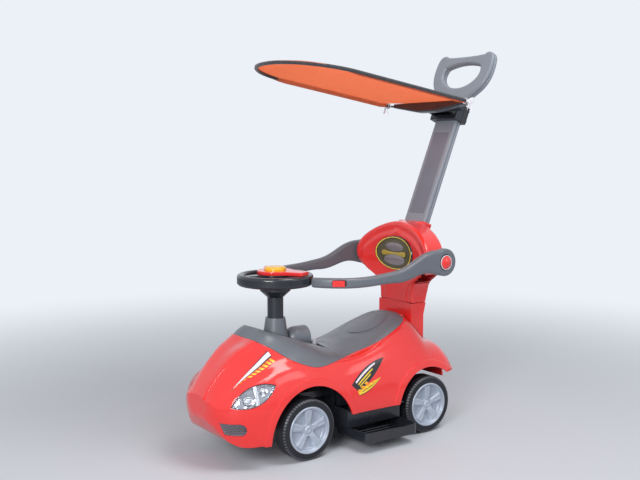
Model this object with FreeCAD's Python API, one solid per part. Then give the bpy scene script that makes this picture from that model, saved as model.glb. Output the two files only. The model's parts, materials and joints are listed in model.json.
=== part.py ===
import FreeCAD, Part
import math
import os

# Ride-on push car with a canopy. The nose points to -Y, up is +Z, the floor is z = 0, lengths are in mm.

# Gaps between pieces
SEAM_GAP = 0.3
RUN_GAP = 0.4
SHAFT_GAP = 0.05
OVERRUN = 30.0

# Layout of the car
WHEELBASE = 382.0
FRONT_AXLE_Y = -216.0
FRONT_OVERHANG = 228.0
REAR_OVERHANG = 104.0
TRACK_HALF = 140.0
WHEEL_RADIUS = 75.0
WHEEL_WIDTH = 46.0

# Body moulding
BODY_HALF_WIDTH = 142.0
BODY_HEIGHT = 320.0
BODY_WALL = 3.5
BUMPER_LOW_Z = 58.0
SKIRT_Z = 93.0
TAIL_LOW_Z = 152.0
TAIL_LIP_HEIGHT = 9.0
TAIL_LIP_SHARE = 1.5
APRON_LOW_Z = 126.0
APRON_HALF_WIDTH = 82.0
FRONT_ARCH_RADIUS = 119.0
FRONT_ARCH_SHIFT = 12.0
FRONT_ARCH_DROP = 14.0
REAR_ARCH_RADIUS = 108.0
REAR_ARCH_SHIFT = 2.0
REAR_ARCH_DROP = 8.0
ARCH_LIP_WIDTH = 17.0
ARCH_LIP_PROUD = 2.2
HOOD_PANEL_PROUD = 2.4
HOOD_PANEL_REAR_HALF_WIDTH = 74.0
HOOD_PANEL_FRONT_HALF_WIDTH = 30.0

# Body cross sections from nose to tail. The first number is the place along the car: -1 nose, 0 front axle,
# 1 rear axle, 2 tail. Then height of the low edge, half width there, and half width and height at the waist,
# the shoulder and the brow, and the height of the crown, as shares of the body's half width and height. The
# last number is how far the surface dips between shoulder and brow, as a share of the height.
BODY_STATION_SHARES = [
    (-1.000, 0.395, 0.21, 0.28, 0.455, 0.25, 0.490, 0.15, 0.508, 0.514, -0.004),
    (-0.960, 0.320, 0.42, 0.53, 0.410, 0.47, 0.500, 0.28, 0.540, 0.556, -0.004),
    (-0.890, 0.246, 0.58, 0.71, 0.385, 0.62, 0.530, 0.36, 0.605, 0.630, 0.002),
    (-0.760, 0.182, 0.77, 0.88, 0.390, 0.75, 0.595, 0.41, 0.706, 0.738, 0.016),
    (-0.600, 0.180, 0.92, 0.96, 0.400, 0.80, 0.640, 0.45, 0.795, 0.828, 0.026),
    (-0.460, 0.180, 0.965, 0.99, 0.412, 0.82, 0.675, 0.49, 0.846, 0.885, 0.030),
    (-0.330, 0.180, 0.98, 1.00, 0.420, 0.83, 0.700, 0.52, 0.895, 0.975, 0.030),
    (-0.180, 0.180, 0.985, 1.00, 0.425, 0.84, 0.712, 0.54, 0.890, 0.988, 0.022),
    (0.000, 0.180, 0.985, 1.00, 0.430, 0.84, 0.710, 0.57, 0.846, 0.952, 0.006),
    (0.130, 0.180, 0.985, 0.995, 0.430, 0.84, 0.690, 0.62, 0.788, 0.875, -0.006),
    (0.293, 0.180, 0.985, 0.985, 0.430, 0.83, 0.666, 0.62, 0.738, 0.788, -0.012),
    (0.471, 0.180, 0.985, 0.985, 0.430, 0.82, 0.688, 0.61, 0.744, 0.781, -0.012),
    (0.654, 0.180, 0.985, 0.99, 0.435, 0.81, 0.730, 0.59, 0.818, 0.860, -0.012),
    (0.838, 0.180, 0.985, 1.00, 0.440, 0.79, 0.760, 0.56, 0.892, 0.938, -0.012),
    (0.982, 0.180, 0.985, 1.00, 0.440, 0.79, 0.735, 0.54, 0.880, 0.948, -0.012),
    (1.220, 0.180, 0.975, 1.00, 0.445, 0.79, 0.678, 0.54, 0.775, 0.845, -0.012),
    (1.550, 0.180, 0.945, 0.975, 0.450, 0.79, 0.635, 0.53, 0.715, 0.750, -0.012),
    (1.820, 0.180, 0.880, 0.920, 0.455, 0.77, 0.600, 0.52, 0.670, 0.695, -0.012),
    (2.000, 0.180, 0.770, 0.820, 0.455, 0.69, 0.570, 0.46, 0.625, 0.645, -0.012),
]
BELLY_FRONT_SHARE = -0.8
SECTION_KNOT_SHARES = (0.0, 0.13, 0.26, 0.315, 0.37, 0.5, 0.63, 0.685, 0.74, 0.87, 1.0)

# Seam between the red moulding and the grey top, seen from the side: place along the car, share of height
BELT_SHARES = [
    (-0.520, 0.950), (-0.417, 0.897), (-0.303, 0.848), (-0.167, 0.780), (0.005, 0.718), (0.105, 0.686),
    (0.200, 0.690), (0.340, 0.712), (0.524, 0.752), (0.680, 0.805), (0.800, 0.858), (0.900, 0.908),
    (0.960, 0.948), (1.020, 1.010),
]
DASH_LIP_SHARE = -0.333
DASH_LIP_HEIGHT_SHARE = 0.978
DASH_REAR_HEIGHT_SHARE = 0.768
SEAT_SEAM_SHARE = 0.295

SEAT_GROOVE_RISE = 15.0
SEAT_GROOVE_WIDTH = 3.0
SEAT_GROOVE_DEPTH = 1.4

# Dash fittings
POD_RADIUS = 29.0
POD_LENGTH = 32.0
POD_REAR_SHARE = 0.215
CATCH_WIDTH = 30.0
CATCH_LENGTH = 15.0
CATCH_HEIGHT = 5.0
COLLAR_TOP_RADIUS = 24.5
COLLAR_BASE_RADIUS = 33.0
COLLAR_TOP_Z = 331.0

# Headlights and fog grilles
HEADLIGHT_SHARE = -0.628
HEADLIGHT_OUT_SHARE = 0.82
HEADLIGHT_HEIGHT_SHARE = 0.548
HEADLIGHT_LENGTH = 118.0
HEADLIGHT_RISE = 22.0
HEADLIGHT_DROP = 25.0
HEADLIGHT_YAW = 14.5
HEADLIGHT_TILT = 20.0
HEADLIGHT_ROLL = 24.0
REFLECTOR_DEPTH = 7.0
REFLECTOR_RIM = 5.0
FOG_SHARE = -0.795
FOG_OUT_SHARE = 0.655
FOG_HEIGHT_SHARE = 0.318
FOG_LENGTH = 66.0
FOG_HEIGHT = 29.0
FOG_YAW = 44.0
FOG_END_SHARE = 0.45
FOG_GRILLE_WALL = 3.0
FOG_RECESS = 2.0
FOG_SLOTS = 7

# Backrest, bent about an upright axis in front of it
TOWER_TOP_Z = 334.0
BACKREST_RISE = 218.0
BACKREST_HALF_WIDTH = 150.0
BACKREST_FRONT_SHARE = 1.06
BACKREST_BEND_RADIUS = 390.0
BACKREST_DEPTH = 60.0
BACKREST_SPLIT = 26.0
BACKREST_ROUND = 7.0
TOWER_LOW_DEPTH = 38.0
TOWER_LOW_Z = 300.0
TOWER_HIGH_Z = 392.0
BACKREST_WALL = 3.0
TOWER_HALF_WIDTH = 68.0
BACKREST_OUTLINE_SHARES = [
    (0.453, 0.0), (0.453, 0.10), (0.50, 0.22), (0.70, 0.325), (0.93, 0.45), (1.00, 0.585), (0.94, 0.71),
    (0.73, 0.845), (0.48, 0.93), (0.22, 0.983), (0.0, 1.0),
]
PANEL_INSET = 24.0
PANEL_PROUD = 3.0
BADGE_HALF_WIDTH = 78.0
BADGE_HALF_HEIGHT = 47.0
BADGE_RIM = 4.0
BADGE_RISE = 131.0
BADGE_DEPTH = 4.0

# Arms and their pivots
PIVOT_RISE = 121.0
PIVOT_SHARE = 1.23
ARM_GAP = 4.0
ARM_THICKNESS = 21.0
ARM_BOSS_RADIUS = 36.0
ARM_CORNER_RADIUS = 8.0
PIVOT_FLANGE_RADIUS = 25.0
PIVOT_PIN_RADIUS = 11.0
PIVOT_PIN_REACH = 6.0
ARM_BUTTON_RADIUS = 20.0
ARM_BUTTON_PROUD = 8.0
ARM_BUTTON_DEPTH = 8.0
ARM_BUTTON_TRAVEL = 3.0
ARM_TIP_GAP = 3.0
ARM_LENGTH = 354.0
ARM_REACH_IN = 86.5
ARM_DROP = 50.0
# Arm from front tip to pivot: share of its reach in from the boss, share of its length, top and bottom from
# the pivot's height as shares of its drop
ARM_STATION_SHARES = [
    (1.00, 1.000, -0.42, -0.90),
    (0.55, 0.935, -0.39, -0.90),
    (0.235, 0.835, -0.39, -0.90),
    (0.085, 0.680, -0.37, -0.88),
    (0.025, 0.500, -0.25, -0.82),
    (0.000, 0.330, 0.06, -0.72),
    (0.000, 0.190, 0.52, -0.50),
    (0.000, 0.085, 0.66, -0.60),
    (0.000, 0.000, 0.70, -0.70),
]
LATCH_LENGTH = 30.0
LATCH_WIDTH = 15.0
LATCH_HEIGHT = 9.0
LATCH_PROUD = 2.5
LATCH_TRAVEL = 4.0
LATCH_RIB_SHARES = (-0.3, -0.1, 0.1)

# Push handle
HANDLE_LEAN = 22.4
HANDLE_FRONT_SHARE = 1.64
HANDLE_HALF_WIDTH = 42.0
HANDLE_DEPTH = 23.0
HANDLE_LENGTH = 503.0
HANDLE_SOCKET_DEPTH = 132.0
HANDLE_EDGE_RADIUS = 5.0
GRIP_HALF_WIDTH = 110.0
GRIP_HOLE_HALF_WIDTH = 70.0
GRIP_BAR = 30.0
GRIP_START_SHARE = 0.69
GRIP_SIDE_SHARES = [
    (0.53, 0.73), (0.86, 0.795), (1.0, 0.87), (1.0, 0.94), (0.93, 0.985), (0.80, 1.0), (0.66, 0.988),
]
GRIP_TOP_SHARE = 0.984
GRIP_HOLE_LOW_SHARE = 0.792
GRIP_HOLE_SHARES = [(0.62, 0.812), (1.0, 0.862), (0.96, 0.918)]
SOCKET_WALL = 4.0
HANDLE_SCREW_SHARES = [(0.82, 0.66), (1.0, 0.775), (2.2, 0.93)]
INLAY_HALF_WIDTH = 29.0
INLAY_LOW = 22.0
INLAY_HIGH = 262.0
INLAY_DEPTH = 1.5

# Canopy and its clamp
CLAMP_LOW = 296.0
CLAMP_HEIGHT = 48.0
CLAMP_WALL = 9.0
CLAMP_SCREW_SHARES = (0.2, 0.8)
CLAMP_FRONT_DEPTH = 15.0
LUG_REACH = 19.0
LUG_RISE = 26.0
LUG_RADIUS = 13.0
LUG_WIDTH = 10.0
STEM_HALF_WIDTH = 36.0
PIVOT_BOLT_RADIUS = 4.0
KNOB_RADIUS = 12.5
KNOB_LENGTH = 42.0
KNOB_FLUTES = 8
CANOPY_TILT = 8.9
CROSSBAR_AHEAD = 40.0
CROSSBAR_DEPTH = 25.0
CROSSBAR_DROP = 21.0
CROSSBAR_END = 12.0
CROSSBAR_ROUND = 4.0
CROSSBAR_HALF = 138.0
HOOP_RADIUS = 3.0
CANOPY_HALF_WIDTH = 166.0
CANOPY_FRONT = 580.0
CANOPY_REAR = 80.0
CANOPY_FRONT_CORNER = 156.0
CANOPY_CROWN = 20.0
CANOPY_REAR_CROWN = 5.0
CANOPY_THICKNESS = 2.5
HOOP_PLUG = 18.0
CANOPY_STATION_SHARES = (0.0, 0.02, 0.06, 0.12, 0.2, 0.3, 0.42, 0.56, 0.7, 0.85, 1.0)

# Steering
CASTER = 7.0
COLUMN_RADIUS = 20.0
COLUMN_LOW_Z = 292.0
STEERING_SHAFT_RADIUS = 7.0
SHAFT_LOW_Z = 88.0
RIM_LOW_Z = 412.0
RIM_RADIUS = 95.0
RIM_HEIGHT = 28.0
RIM_THICKNESS = 19.0
RIM_ROUND = 8.0
BOWL_RADIUS = 38.5
BOWL_DROP = 31.0
BOWL_CONE = 17.0
HUB_RADIUS = 45.0
SPOKE_WIDTH = 25.0
SPOKE_THICKNESS = 13.0
SPOKE_ANGLES = (25.0, 155.0, 270.0)
COVER_THICKNESS = 9.0
LOBE_REACH = 88.0
LOBE_TIP_WIDTH = 34.0
LOBE_ROOT_WIDTH = 52.0
HORN_RADIUS = 27.0
HORN_PROUD = 9.0
HORN_SINK = 5.0
HORN_TRAVEL = 2.5

# Underbody
PLATFORM_Z = 128.0
PLATFORM_THICKNESS = 5.0
PLATFORM_HALF_WIDTH = 66.0
TRAY_LOW_Z = 55.0
TRAY_TOP_Z = 100.0
TRAY_HALF_WIDTH = 127.0
TRAY_FRONT = 124.0
TRAY_REAR = 294.0
TRAY_WALL = 4.0
AXLE_BOX_HALF_WIDTH = 84.0
AXLE_BOX_REAR = 446.0
BUSH_WALL = 3.5
BUSH_FLANGE = 3.0
BEARING_RADIUS = 20.0
BEARING_HEIGHT = 34.0
AXLE_RADIUS = 4.0
CARRIER_HALF_WIDTH = 84.0
CARRIER_HALF_DEPTH = 15.0
CARRIER_HALF_HEIGHT = 13.0
CARRIER_BOSS_RADIUS = 18.0
BIN_HALF_WIDTH = 84.0
BIN_TOP_Z = 205.0
BIN_FRONT_SHARE = 0.345
BIN_REAR_SHARE = 0.885
BIN_WALL = 3.0
RIB_THICKNESS = 4.0
BIN_RIB_SHARES = (0.25, 0.75)

# Seat hinge
HINGE_RADIUS = 4.5
HINGE_PIN_RADIUS = 2.0
HINGE_SHARE = 0.965
HINGE_HEIGHT_SHARE = 0.951
HINGE_SINK = 5.0
HINGE_HALF_WIDTH = 52.0
HINGE_KNUCKLE = 16.0

# Footrests
FOOT_OUT = 190.0
FOOT_IN = 65.0
FOOT_FRONT = 137.0
FOOT_REAR = 303.0
FOOT_LOW_Z = 26.0
FOOT_HEIGHT = 25.0
FOOT_WALL = 4.0
FOOT_CORNER = 16.0
FOOT_FLANGE = 5.0
FOOT_FLANGE_LENGTH = 25.0
FOOT_FLANGE_THICKNESS = 4.0
RAIL_WALL = 3.0
RAIL_HALF_LENGTH = 84.0
FOOT_TREAD_SHARES = (0.3, 0.42, 0.54, 0.66, 0.78)

# Wheels
WHEEL_HUB_RADIUS = 14.0
WHEEL_HUB_INSET = 8.0
WHEEL_HUB_LENGTH = 31.0
WHEEL_WEB = 4.0
WHEEL_WEB_PLACE = 25.0
WHEEL_TREAD = 6.0
WHEEL_SHOULDER = 5.0
COVER_RADIUS = 57.5
COVER_LIP = 4.5
COVER_LIP_PROUD = 2.0
COVER_PLATE = 3.0
COVER_SPOKES = 5
COVER_SPOKE_ROOT = 15.0
COVER_SPOKE_TIP = 30.0
COVER_SPOKE_RISE = 9.0
COVER_GROOVE = 6.0
COVER_HUB_RADIUS = 15.0
COVER_CAP_RADIUS = 8.0
AXLE_CAP_RADIUS = 9.0
AXLE_CAP_LENGTH = 6.0

# Fasteners
SCREW_RADIUS = 2.0
SCREW_HEAD_RADIUS = 4.0
SCREW_HEAD = 2.5

ORIGIN = FreeCAD.Vector(0, 0, 0)
X_AXIS = FreeCAD.Vector(1, 0, 0)
Y_AXIS = FreeCAD.Vector(0, 1, 0)
Z_AXIS = FreeCAD.Vector(0, 0, 1)
FULL_TURN = 360.0

REAR_AXLE_Y = FRONT_AXLE_Y + WHEELBASE
TAIL_Y = REAR_AXLE_Y + REAR_OVERHANG
STEER_Y = FRONT_AXLE_Y - CASTER
PARTS = {}


def vec(x, y, z):
    return FreeCAD.Vector(x, y, z)


def along(share):
    """Place along the car: -1 nose, 0 front axle, 1 rear axle, 2 tail."""
    if share < 0:
        return FRONT_AXLE_Y + share * FRONT_OVERHANG
    if share <= 1:
        return FRONT_AXLE_Y + share * WHEELBASE
    return REAR_AXLE_Y + (share - 1) * REAR_OVERHANG


def box(x0, x1, y0, y1, z0, z1):
    return Part.makeBox(x1 - x0, y1 - y0, z1 - z0, vec(x0, y0, z0))


def wide_box(half_width, y0, y1, z0, z1):
    return box(-half_width, half_width, y0, y1, z0, z1)


def rod_x(radius, x0, x1, y, z):
    return Part.makeCylinder(radius, x1 - x0, vec(x0, y, z), X_AXIS)


def rod_y(radius, y0, y1, x, z):
    return Part.makeCylinder(radius, y1 - y0, vec(x, y0, z), Y_AXIS)


def rod_z(radius, z0, z1, y):
    return Part.makeCylinder(radius, z1 - z0, vec(0, y, z0), Z_AXIS)


def cone_z(low_radius, high_radius, z0, z1, y):
    return Part.makeCone(low_radius, high_radius, z1 - z0, vec(0, y, z0), Z_AXIS)


def fused(shapes):
    return shapes[0].multiFuse(shapes[1:]).removeSplitter()


def mirrored(shape):
    return shape.mirror(ORIGIN, X_AXIS)


def turned(shape, centre, axis, angle):
    copy = shape.copy()
    copy.rotate(centre, axis, angle)
    return copy


def moved(shape, offset):
    copy = shape.copy()
    copy.translate(offset)
    return copy


def spline(points):
    curve = Part.BSplineCurve()
    curve.interpolate(points)
    return curve.toShape()


def line(start, end):
    return Part.LineSegment(start, end).toShape()


def arc(start, middle, end):
    return Part.Arc(start, middle, end).toShape()


def face_of(edges):
    return Part.Face(Part.Wire(Part.__sortEdges__(edges)))


def polygon(points):
    return Part.Face(Part.makePolygon(points + points[:1]))


def side_plate(points, half_width):
    """Prism across the car from (y, z) corners."""
    corners = [vec(-half_width, y, z) for y, z in points]
    return polygon(corners).extrude(vec(half_width * 2, 0, 0))


def keep(name, shape):
    PARTS[name] = shape


def keep_pair(name, shape):
    keep(name + "_left", shape)
    keep(name + "_right", mirrored(shape))


def body_section(row, inset):
    """One closed cross section of the body, drawn in by the inset."""
    place, low_z, low, waist, waist_z, shoulder, shoulder_z, brow, brow_z, crown_z, dip = row
    draw_in = -place if place < 0 else min(0, 1 - place)
    y = along(place) + inset * draw_in
    valley = (shoulder + brow) / 2
    valley_z = (shoulder_z + brow_z) / 2 - dip
    half = [
        (low * BODY_HALF_WIDTH - inset, low_z * BODY_HEIGHT + inset),
        (waist * BODY_HALF_WIDTH - inset, waist_z * BODY_HEIGHT),
        (shoulder * BODY_HALF_WIDTH - inset, shoulder_z * BODY_HEIGHT - inset / 2),
        (valley * BODY_HALF_WIDTH - inset * 3 / 4, valley_z * BODY_HEIGHT - inset * 3 / 4),
        (brow * BODY_HALF_WIDTH - inset / 2, brow_z * BODY_HEIGHT - inset),
    ]
    right = [vec(x, y, z) for x, z in half]
    left = [vec(-x, y, z) for x, z in reversed(half)]
    points = right + [vec(0, y, crown_z * BODY_HEIGHT - inset)] + left
    curve = Part.BSplineCurve()
    curve.interpolate(Points=points, Parameters=list(SECTION_KNOT_SHARES))
    return Part.Wire([curve.toShape(), line(points[-1], points[0])])


def body_form(inset):
    """The whole car body as one solid, drawn in by the inset."""
    wires = [body_section(row, inset) for row in BODY_STATION_SHARES]
    return Part.makeLoft(wires, True, False)


def above_belt(raise_by):
    """All the space above the seam line, raised by a gap."""
    side = BODY_HALF_WIDTH + OVERRUN
    points = [vec(-side, along(s), z * BODY_HEIGHT + raise_by) for s, z in BELT_SHARES]
    top = BODY_HEIGHT * 2
    corners = [points[-1], vec(-side, points[-1].y, top), vec(-side, points[0].y, top), points[0]]
    edges = [spline(points)] + [line(a, b) for a, b in zip(corners, corners[1:])]
    return face_of(edges).extrude(vec(side * 2, 0, 0))


def dash_slope(offset):
    """All the space above the sloping dash floor, moved down by the offset."""
    front_y = along(DASH_LIP_SHARE)
    rear_y = along(SEAT_SEAM_SHARE)
    front_z = DASH_LIP_HEIGHT_SHARE * BODY_HEIGHT - offset
    rear_z = DASH_REAR_HEIGHT_SHARE * BODY_HEIGHT - offset
    slope = (rear_z - front_z) / (rear_y - front_y)
    ahead = FRONT_OVERHANG
    points = [(front_y - ahead, front_z - slope * ahead), (rear_y + ahead, rear_z + slope * ahead)]
    top = BODY_HEIGHT * 2
    return side_plate(points + [(rear_y + ahead, top), (front_y - ahead, top)], BODY_HALF_WIDTH + OVERRUN)


def dash_floor_z(y):
    front_y = along(DASH_LIP_SHARE)
    share = (y - front_y) / (along(SEAT_SEAM_SHARE) - front_y)
    height_share = DASH_LIP_HEIGHT_SHARE + share * (DASH_REAR_HEIGHT_SHARE - DASH_LIP_HEIGHT_SHARE)
    return height_share * BODY_HEIGHT


def front_arch(radius):
    side = BODY_HALF_WIDTH + OVERRUN
    return rod_x(radius, -side, side, FRONT_AXLE_Y + FRONT_ARCH_SHIFT, WHEEL_RADIUS - FRONT_ARCH_DROP)


def rear_arch(radius):
    side = BODY_HALF_WIDTH + OVERRUN
    return rod_x(radius, -side, side, REAR_AXLE_Y + REAR_ARCH_SHIFT, WHEEL_RADIUS - REAR_ARCH_DROP)


def bend_axis_y():
    return along(BACKREST_FRONT_SHARE) - BACKREST_BEND_RADIUS


def bent_slab(from_front, to_front, z0, z1):
    """Upright slab bent about the backrest's axis, between two depths from its front face."""
    outer = rod_z(BACKREST_BEND_RADIUS + to_front, z0, z1, bend_axis_y())
    inner = rod_z(BACKREST_BEND_RADIUS + from_front, z0, z1, bend_axis_y())
    behind = wide_box(BODY_HALF_WIDTH * 2, bend_axis_y(), TAIL_Y + OVERRUN * 2, z0, z1)
    return outer.cut(inner).common(behind)


def backrest_outline(inset):
    """Front outline of the backrest, extruded through its depth."""
    y = bend_axis_y()
    half = []
    for x_share, z_share in BACKREST_OUTLINE_SHARES:
        x = max(0, x_share * BACKREST_HALF_WIDTH - inset) if x_share > 0 else 0
        z = TOWER_TOP_Z + z_share * BACKREST_RISE
        half.append(vec(x, y, z - inset * z_share))
    other = [vec(-p.x, p.y, p.z) for p in reversed(half[:-1])]
    rim = spline(half + other)
    depth = BACKREST_BEND_RADIUS + BACKREST_DEPTH * 2 + OVERRUN
    return face_of([rim, line(other[-1], half[0])]).extrude(vec(0, depth, 0))


def to_handle_lean(shape):
    """Tilt a shape from an upright handle to the leaning one."""
    return turned(shape, handle_foot(), X_AXIS, -HANDLE_LEAN)


def handle_foot():
    return vec(0, along(HANDLE_FRONT_SHARE), TOWER_TOP_Z + BACKREST_RISE)


def handle_outline(grow, low):
    """Front outline of stem and grip with the hand hole, at the handle's front plane."""
    foot = handle_foot()
    half = HANDLE_HALF_WIDTH + grow
    start = GRIP_START_SHARE * HANDLE_LENGTH

    def at(x, t):
        return vec(x, foot.y, foot.z + t)

    side = [at(half, start)] + [at(x * GRIP_HALF_WIDTH, t * HANDLE_LENGTH) for x, t in GRIP_SIDE_SHARES]
    other = [vec(-p.x, p.y, p.z) for p in reversed(side)]
    edges = [spline(side), arc(side[-1], at(0, GRIP_TOP_SHARE * HANDLE_LENGTH), other[0]), spline(other)]
    left_foot = at(-half, low)
    right_foot = at(half, low)
    edges += [line(other[-1], left_foot), line(left_foot, right_foot), line(right_foot, side[0])]
    outer = face_of(edges)
    hole_low = at(0, GRIP_HOLE_LOW_SHARE * HANDLE_LENGTH)
    rise = [at(x * GRIP_HOLE_HALF_WIDTH, t * HANDLE_LENGTH) for x, t in GRIP_HOLE_SHARES]
    left = [vec(-p.x, p.y, p.z) for p in reversed(rise)]
    top = at(0, HANDLE_LENGTH - GRIP_BAR)
    hole = face_of([spline(left + [hole_low] + rise), arc(rise[-1], top, left[0])])
    return outer.cut(hole).Faces[0]


OUTER = body_form(0)
INNER = body_form(BODY_WALL)
LINER = body_form(BODY_WALL + SEAM_GAP)


def leaf_prism(grow):
    """Leaf-shaped cutter through the body where the left headlight sits."""
    half = HEADLIGHT_LENGTH / 2 + grow
    depth = HEADLIGHT_LENGTH / 2
    front = vec(-depth, -half, 0)
    rear = vec(-depth, half, 0)
    upper = arc(front, vec(-depth, 0, HEADLIGHT_RISE + grow), rear)
    lower = arc(rear, vec(-depth, 0, -HEADLIGHT_DROP - grow), front)
    prism = face_of([upper, lower]).extrude(vec(depth * 2, 0, 0))
    prism.rotate(ORIGIN, X_AXIS, HEADLIGHT_TILT)
    prism.rotate(ORIGIN, Y_AXIS, -HEADLIGHT_ROLL)
    prism.rotate(ORIGIN, Z_AXIS, -HEADLIGHT_YAW)
    out = HEADLIGHT_OUT_SHARE * BODY_HALF_WIDTH
    prism.translate(vec(out, along(HEADLIGHT_SHARE), HEADLIGHT_HEIGHT_SHARE * BODY_HEIGHT))
    return prism


def place_fog(shape):
    shape.rotate(ORIGIN, Z_AXIS, -FOG_YAW)
    shape.translate(vec(FOG_OUT_SHARE * BODY_HALF_WIDTH, along(FOG_SHARE), FOG_HEIGHT_SHARE * BODY_HEIGHT))
    return shape


def fog_prism(grow):
    """Cutter for the left fog grille: slanted inner end, rounded outer end."""
    half = FOG_LENGTH / 2 + grow
    high = FOG_HEIGHT / 2 + grow
    depth = FOG_LENGTH / 2
    corner_in = vec(-depth, -half, high)
    corner_out = vec(-depth, half - high, high)
    low_out = vec(-depth, half - high, -high)
    low_in = vec(-depth, -half + FOG_HEIGHT * FOG_END_SHARE, -high)
    end = arc(corner_out, vec(-depth, half, 0), low_out)
    edges = [line(corner_in, corner_out), end, line(low_out, low_in), line(low_in, corner_in)]
    return place_fog(face_of(edges).extrude(vec(depth * 2, 0, 0)))


def fog_slots():
    """Upright slots that open the grille."""
    pitch = FOG_LENGTH / (FOG_SLOTS + 2)
    slots = []
    for index in range(FOG_SLOTS):
        middle = (index - (FOG_SLOTS - 1) / 2) * pitch
        slot = box(-FOG_LENGTH, FOG_LENGTH, middle, middle + pitch / 2, -FOG_HEIGHT / 3, FOG_HEIGHT / 3)
        slots.append(place_fog(slot))
    return slots


def arch_lips():
    """Raised bands round the four wheel arches and along the tail's low edge."""
    proud = body_form(-ARCH_LIP_PROUD)
    side = BODY_HALF_WIDTH + OVERRUN
    front = front_arch(FRONT_ARCH_RADIUS + ARCH_LIP_WIDTH)
    rear = rear_arch(REAR_ARCH_RADIUS + ARCH_LIP_WIDTH)
    tail = wide_box(side, along(TAIL_LIP_SHARE), TAIL_Y + OVERRUN, TAIL_LOW_Z, TAIL_LOW_Z + TAIL_LIP_HEIGHT)
    return [proud.common(front), proud.common(rear), proud.common(tail)]


def hood_panel():
    """Raised middle panel of the hood, narrowing to the nose."""
    proud = body_form(-HOOD_PANEL_PROUD)
    front_y = FRONT_AXLE_Y - FRONT_OVERHANG
    low_z = BODY_STATION_SHARES[0][6] * BODY_HEIGHT
    corners = [
        vec(-HOOD_PANEL_FRONT_HALF_WIDTH, front_y, low_z),
        vec(HOOD_PANEL_FRONT_HALF_WIDTH, front_y, low_z),
        vec(HOOD_PANEL_REAR_HALF_WIDTH, FRONT_AXLE_Y, low_z),
        vec(-HOOD_PANEL_REAR_HALF_WIDTH, FRONT_AXLE_Y, low_z),
    ]
    return proud.common(polygon(corners).extrude(vec(0, 0, BODY_HEIGHT)))


def belly_cut():
    """Everything inside the low edge of the body, which is open to the floor."""
    rows = [row for row in BODY_STATION_SHARES if row[0] > BELLY_FRONT_SHARE]
    right = [vec(row[2] * BODY_HALF_WIDTH - BODY_WALL, along(row[0]), 0) for row in rows]
    right[-1].y -= BODY_WALL
    left = [vec(-p.x, p.y, 0) for p in reversed(right)]
    return polygon(right + left).extrude(vec(0, 0, BUMPER_LOW_Z + BODY_WALL * 2))


def tower(inset, low_z, high_z):
    slab = bent_slab(inset, BACKREST_DEPTH - inset, low_z, high_z).cut(behind_lean(inset))
    return slab.common(wide_box(TOWER_HALF_WIDTH - inset, along(1), TAIL_Y, low_z, high_z))


def behind_lean(offset):
    """Space behind the slanting back of the tower, moved forward by the offset."""
    face_y = along(BACKREST_FRONT_SHARE) - offset
    low_y = face_y + TOWER_LOW_DEPTH
    high_y = face_y + BACKREST_DEPTH
    far_y = TAIL_Y + BACKREST_DEPTH
    low_z = BODY_HEIGHT / 2
    slant = [(low_y, low_z), (low_y, TOWER_LOW_Z), (high_y, TOWER_HIGH_Z)]
    return side_plate(slant + [(far_y, TOWER_HIGH_Z), (far_y, low_z)], BODY_HALF_WIDTH)


def hinge_y():
    return along(HINGE_SHARE)


def hinge_z():
    return HINGE_HEIGHT_SHARE * BODY_HEIGHT - HINGE_SINK


def body_shell():
    side = BODY_HALF_WIDTH + OVERRUN
    shell = OUTER.multiFuse(arch_lips() + [hood_panel()])
    skirt = wide_box(side, FRONT_AXLE_Y, REAR_AXLE_Y, 0, SKIRT_Z)
    apron = wide_box(side, REAR_AXLE_Y, TAIL_Y + OVERRUN, 0, APRON_LOW_Z)
    corner = box(APRON_HALF_WIDTH, side, REAR_AXLE_Y, TAIL_Y + OVERRUN, 0, TAIL_LOW_Z)
    shell = shell.cut(above_belt(0)).cut(belly_cut())
    shell = shell.cut(front_arch(FRONT_ARCH_RADIUS)).cut(rear_arch(REAR_ARCH_RADIUS))
    shell = shell.cut(skirt).cut(apron).cut(corner).cut(mirrored(corner))
    for prism in (leaf_prism(0), fog_prism(0)):
        shell = shell.cut(prism).cut(mirrored(prism))
    shell = shell.cut(INNER)
    column = tower(0, BODY_HEIGHT / 2, TOWER_TOP_Z).cut(INNER)
    hollow = tower(BODY_WALL, BODY_HEIGHT / 2, TOWER_TOP_Z + OVERRUN)
    shell = fused([shell, column]).cut(hollow)
    knuckle = hinge_slot()
    shell = shell.cut(knuckle).cut(mirrored(knuckle))
    swing = HINGE_RADIUS * 2 + RUN_GAP * 3
    shell = shell.cut(rod_x(swing, -HINGE_HALF_WIDTH, HINGE_HALF_WIDTH, hinge_y(), hinge_z()))
    lug = hinge_lug()
    shell = fused([shell, lug, mirrored(lug)])
    return shell.cut(rod_x(HINGE_PIN_RADIUS + SHAFT_GAP, -side, side, hinge_y(), hinge_z()))


def hinge_slot():
    """Room in the deck for a seat knuckle."""
    room = HINGE_RADIUS + RUN_GAP * 3
    x0 = HINGE_HALF_WIDTH - HINGE_KNUCKLE * 2 - RUN_GAP
    x1 = HINGE_HALF_WIDTH - HINGE_KNUCKLE + RUN_GAP
    return box(x0, x1, hinge_y() - room * 3, hinge_y() + room, hinge_z() - room * 2, hinge_z() + room * 2)


def hinge_lug():
    """Ear on the deck that holds the hinge pin's end."""
    x0 = HINGE_HALF_WIDTH - HINGE_KNUCKLE + RUN_GAP
    ear = rod_x(HINGE_RADIUS, x0, HINGE_HALF_WIDTH, hinge_y(), hinge_z())
    y1 = hinge_y() + HINGE_RADIUS * 4
    foot = box(x0, HINGE_HALF_WIDTH, hinge_y(), y1, hinge_z() - HINGE_RADIUS, BODY_HEIGHT)
    return ear.fuse(foot.common(OUTER))


def grey_top():
    """The grey mouldings above the seam, still in one piece."""
    return OUTER.common(above_belt(SEAM_GAP)).cut(INNER)


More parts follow.
